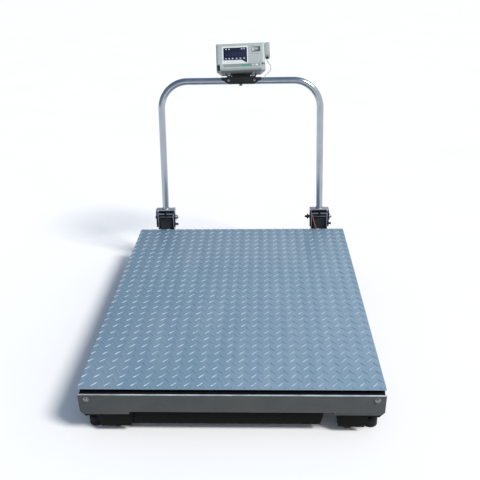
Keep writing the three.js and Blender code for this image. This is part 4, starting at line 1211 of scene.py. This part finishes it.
# ---------------------------------------------------------------- keys and plates on the face
# Five sprung keys stand through a grey membrane strip. A blank nameplate with a pale roundel sits
# over a thin moulded line at the upper right.

MEMBRANE_LOW, MEMBRANE_HIGH = (-0.095, -0.0005, 0.0160), (0.1040, 0.0002, 0.0325)
NAMEPLATE_LOW, NAMEPLATE_HIGH = (0.0630, -0.0010, 0.1000), (0.1110, 0.0002, 0.1315)

def face_patch(name, low, high, proud=0.0005, edge=0.0004):
    """A thin plate on the face, from corner to corner in X and Z."""
    patch = block(name, (low[0], -proud, low[1]), (high[0], 0.0002, high[1]))
    return rounded(patch, edge, 2)


membrane = block("key_membrane", MEMBRANE_LOW, MEMBRANE_HIGH)
hollowed(membrane, *key_openings(0.0004))
membrane_finish = moulding("membrane_print", rgb(0.26, 0.29, 0.29), rgb(0.20, 0.225, 0.225), 0.4)
case_piece(membrane, membrane_finish, "case_plastic")

key_colours = {
    "key_green": (rgb(0.055, 0.36, 0.25), rgb(0.035, 0.27, 0.18)),
    "key_pink": (rgb(0.60, 0.45, 0.46), rgb(0.50, 0.36, 0.37)),
    "key_pale": (rgb(0.66, 0.68, 0.68), rgb(0.54, 0.56, 0.57)),
}
key_finishes = {slot: moulding(slot + "_plastic", *tones, 0.38)
                for slot, tones in key_colours.items()}
for number, slot in enumerate(("key_green", "key_green", "key_green", "key_pink", "key_pale"), 1):
    from_solid(f"key_{number}", f"keycap_{number}", 0.0008, key_finishes[slot],
               f"key_{number}", slot, 3)

nameplate_finish = plated("nameplate_metal", (0.30, 0.31, 0.31), 0.35)
nameplate = block("blank_nameplate", NAMEPLATE_LOW, NAMEPLATE_HIGH)
stepped(nameplate, (0, -1, 0), 0.0028, (0, 0.0004, 0), walled=True)
rounded(nameplate, 0.0003)
case_piece(nameplate, nameplate_finish, "case_plastic")
roundel = turned("nameplate_roundel", [(0, 0), (0.0062, 0), (0.0062, 0.0007), (0.0050, 0.0012),
                                       (0, 0.0013)], 24)
roundel.data.transform(Matrix.Scale(1.35, 4, (1, 0, 0)))
stood(roundel, Vector((0.087, -0.0008, 0.1165)), (0, -1, 0))
roundel_finish = moulding("roundel_enamel", rgb(0.45, 0.52, 0.30), rgb(0.36, 0.42, 0.24), 0.3)
case_piece(roundel, roundel_finish, "case_plastic")
rule = face_patch("face_rule", (0.0600, 0.0880), (0.1180, 0.0894), 0.0004, 0.0002)
case_piece(rule, membrane_finish, "case_plastic")
lamp = face_patch("power_lamp", (0.1040, 0.0380), (0.1130, 0.0410), 0.0008, 0.0004)
case_piece(lamp, membrane_finish, "case_plastic")

# ---------------------------------------------------------------- inside and back of the indicator
# The display board and the sealed battery fill the case. Four screws close it from behind, and a
# six-sided gland in the floor of the side housing grips the signal cable.

GLAND_PLACE = Vector((0.146, 0.045, 0.084))
BACK_SCREW_X, BACK_SCREWS_Z = 0.092, (0.018, 0.116)

board_finish = mottled("board_mask", (140.0, 2, (1, 6, 1)),
                       (rgb(0.010, 0.085, 0.032), rgb(0.025, 0.16, 0.06)),
                       (0.35, 0.1), (0.0001, 0.3), ramp=(0.5, 0.56), IOR=1.5)
nodes["display_board"].data.materials.clear()
nodes["display_board"].data.materials.append(board_finish)
battery_finish = moulding("battery_shell", rgb(0.045, 0.050, 0.058), rgb(0.030, 0.034, 0.040), 0.5)
from_solid("battery", "sealed_battery", 0.0020, battery_finish, "indicator", "battery_case", 3)

back_screws = set_out(button_screw(0.0034, 0.0020, 0.0042, 0.0006), "case_screws", [
    (Vector((x, CASE_DEPTH, z)), (0, 1, 0))
    for x in (-BACK_SCREW_X, BACK_SCREW_X) for z in BACK_SCREWS_Z])
case_piece(back_screws, screw_zinc, "zinc")
back_label = block("blank_back_label", (-0.045, CASE_DEPTH - 0.0001, 0.050),
                   (0.045, CASE_DEPTH + 0.0004, 0.095))
case_piece(rounded(back_label, 0.0002), strip_finish, "case_back")

gland = turned("gland_nut", [
    (0, -0.0068), (0.0050, -0.0068), (0.0050, 0.0004), (0.0084, 0.0004), (0.0084, 0.0050),
    (0.0078, 0.0062), (0.0070, 0.0082), (0.0056, 0.0098), (0, 0.0100)], 6)
rounded(gland, 0.0005, 2, 25)
stood(gland, GLAND_PLACE, (0, 0, -1))
case_piece(gland, moulded_finish, "black_plastic", "cable_gland")

# ---------------------------------------------------------------- bounds
low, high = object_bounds()
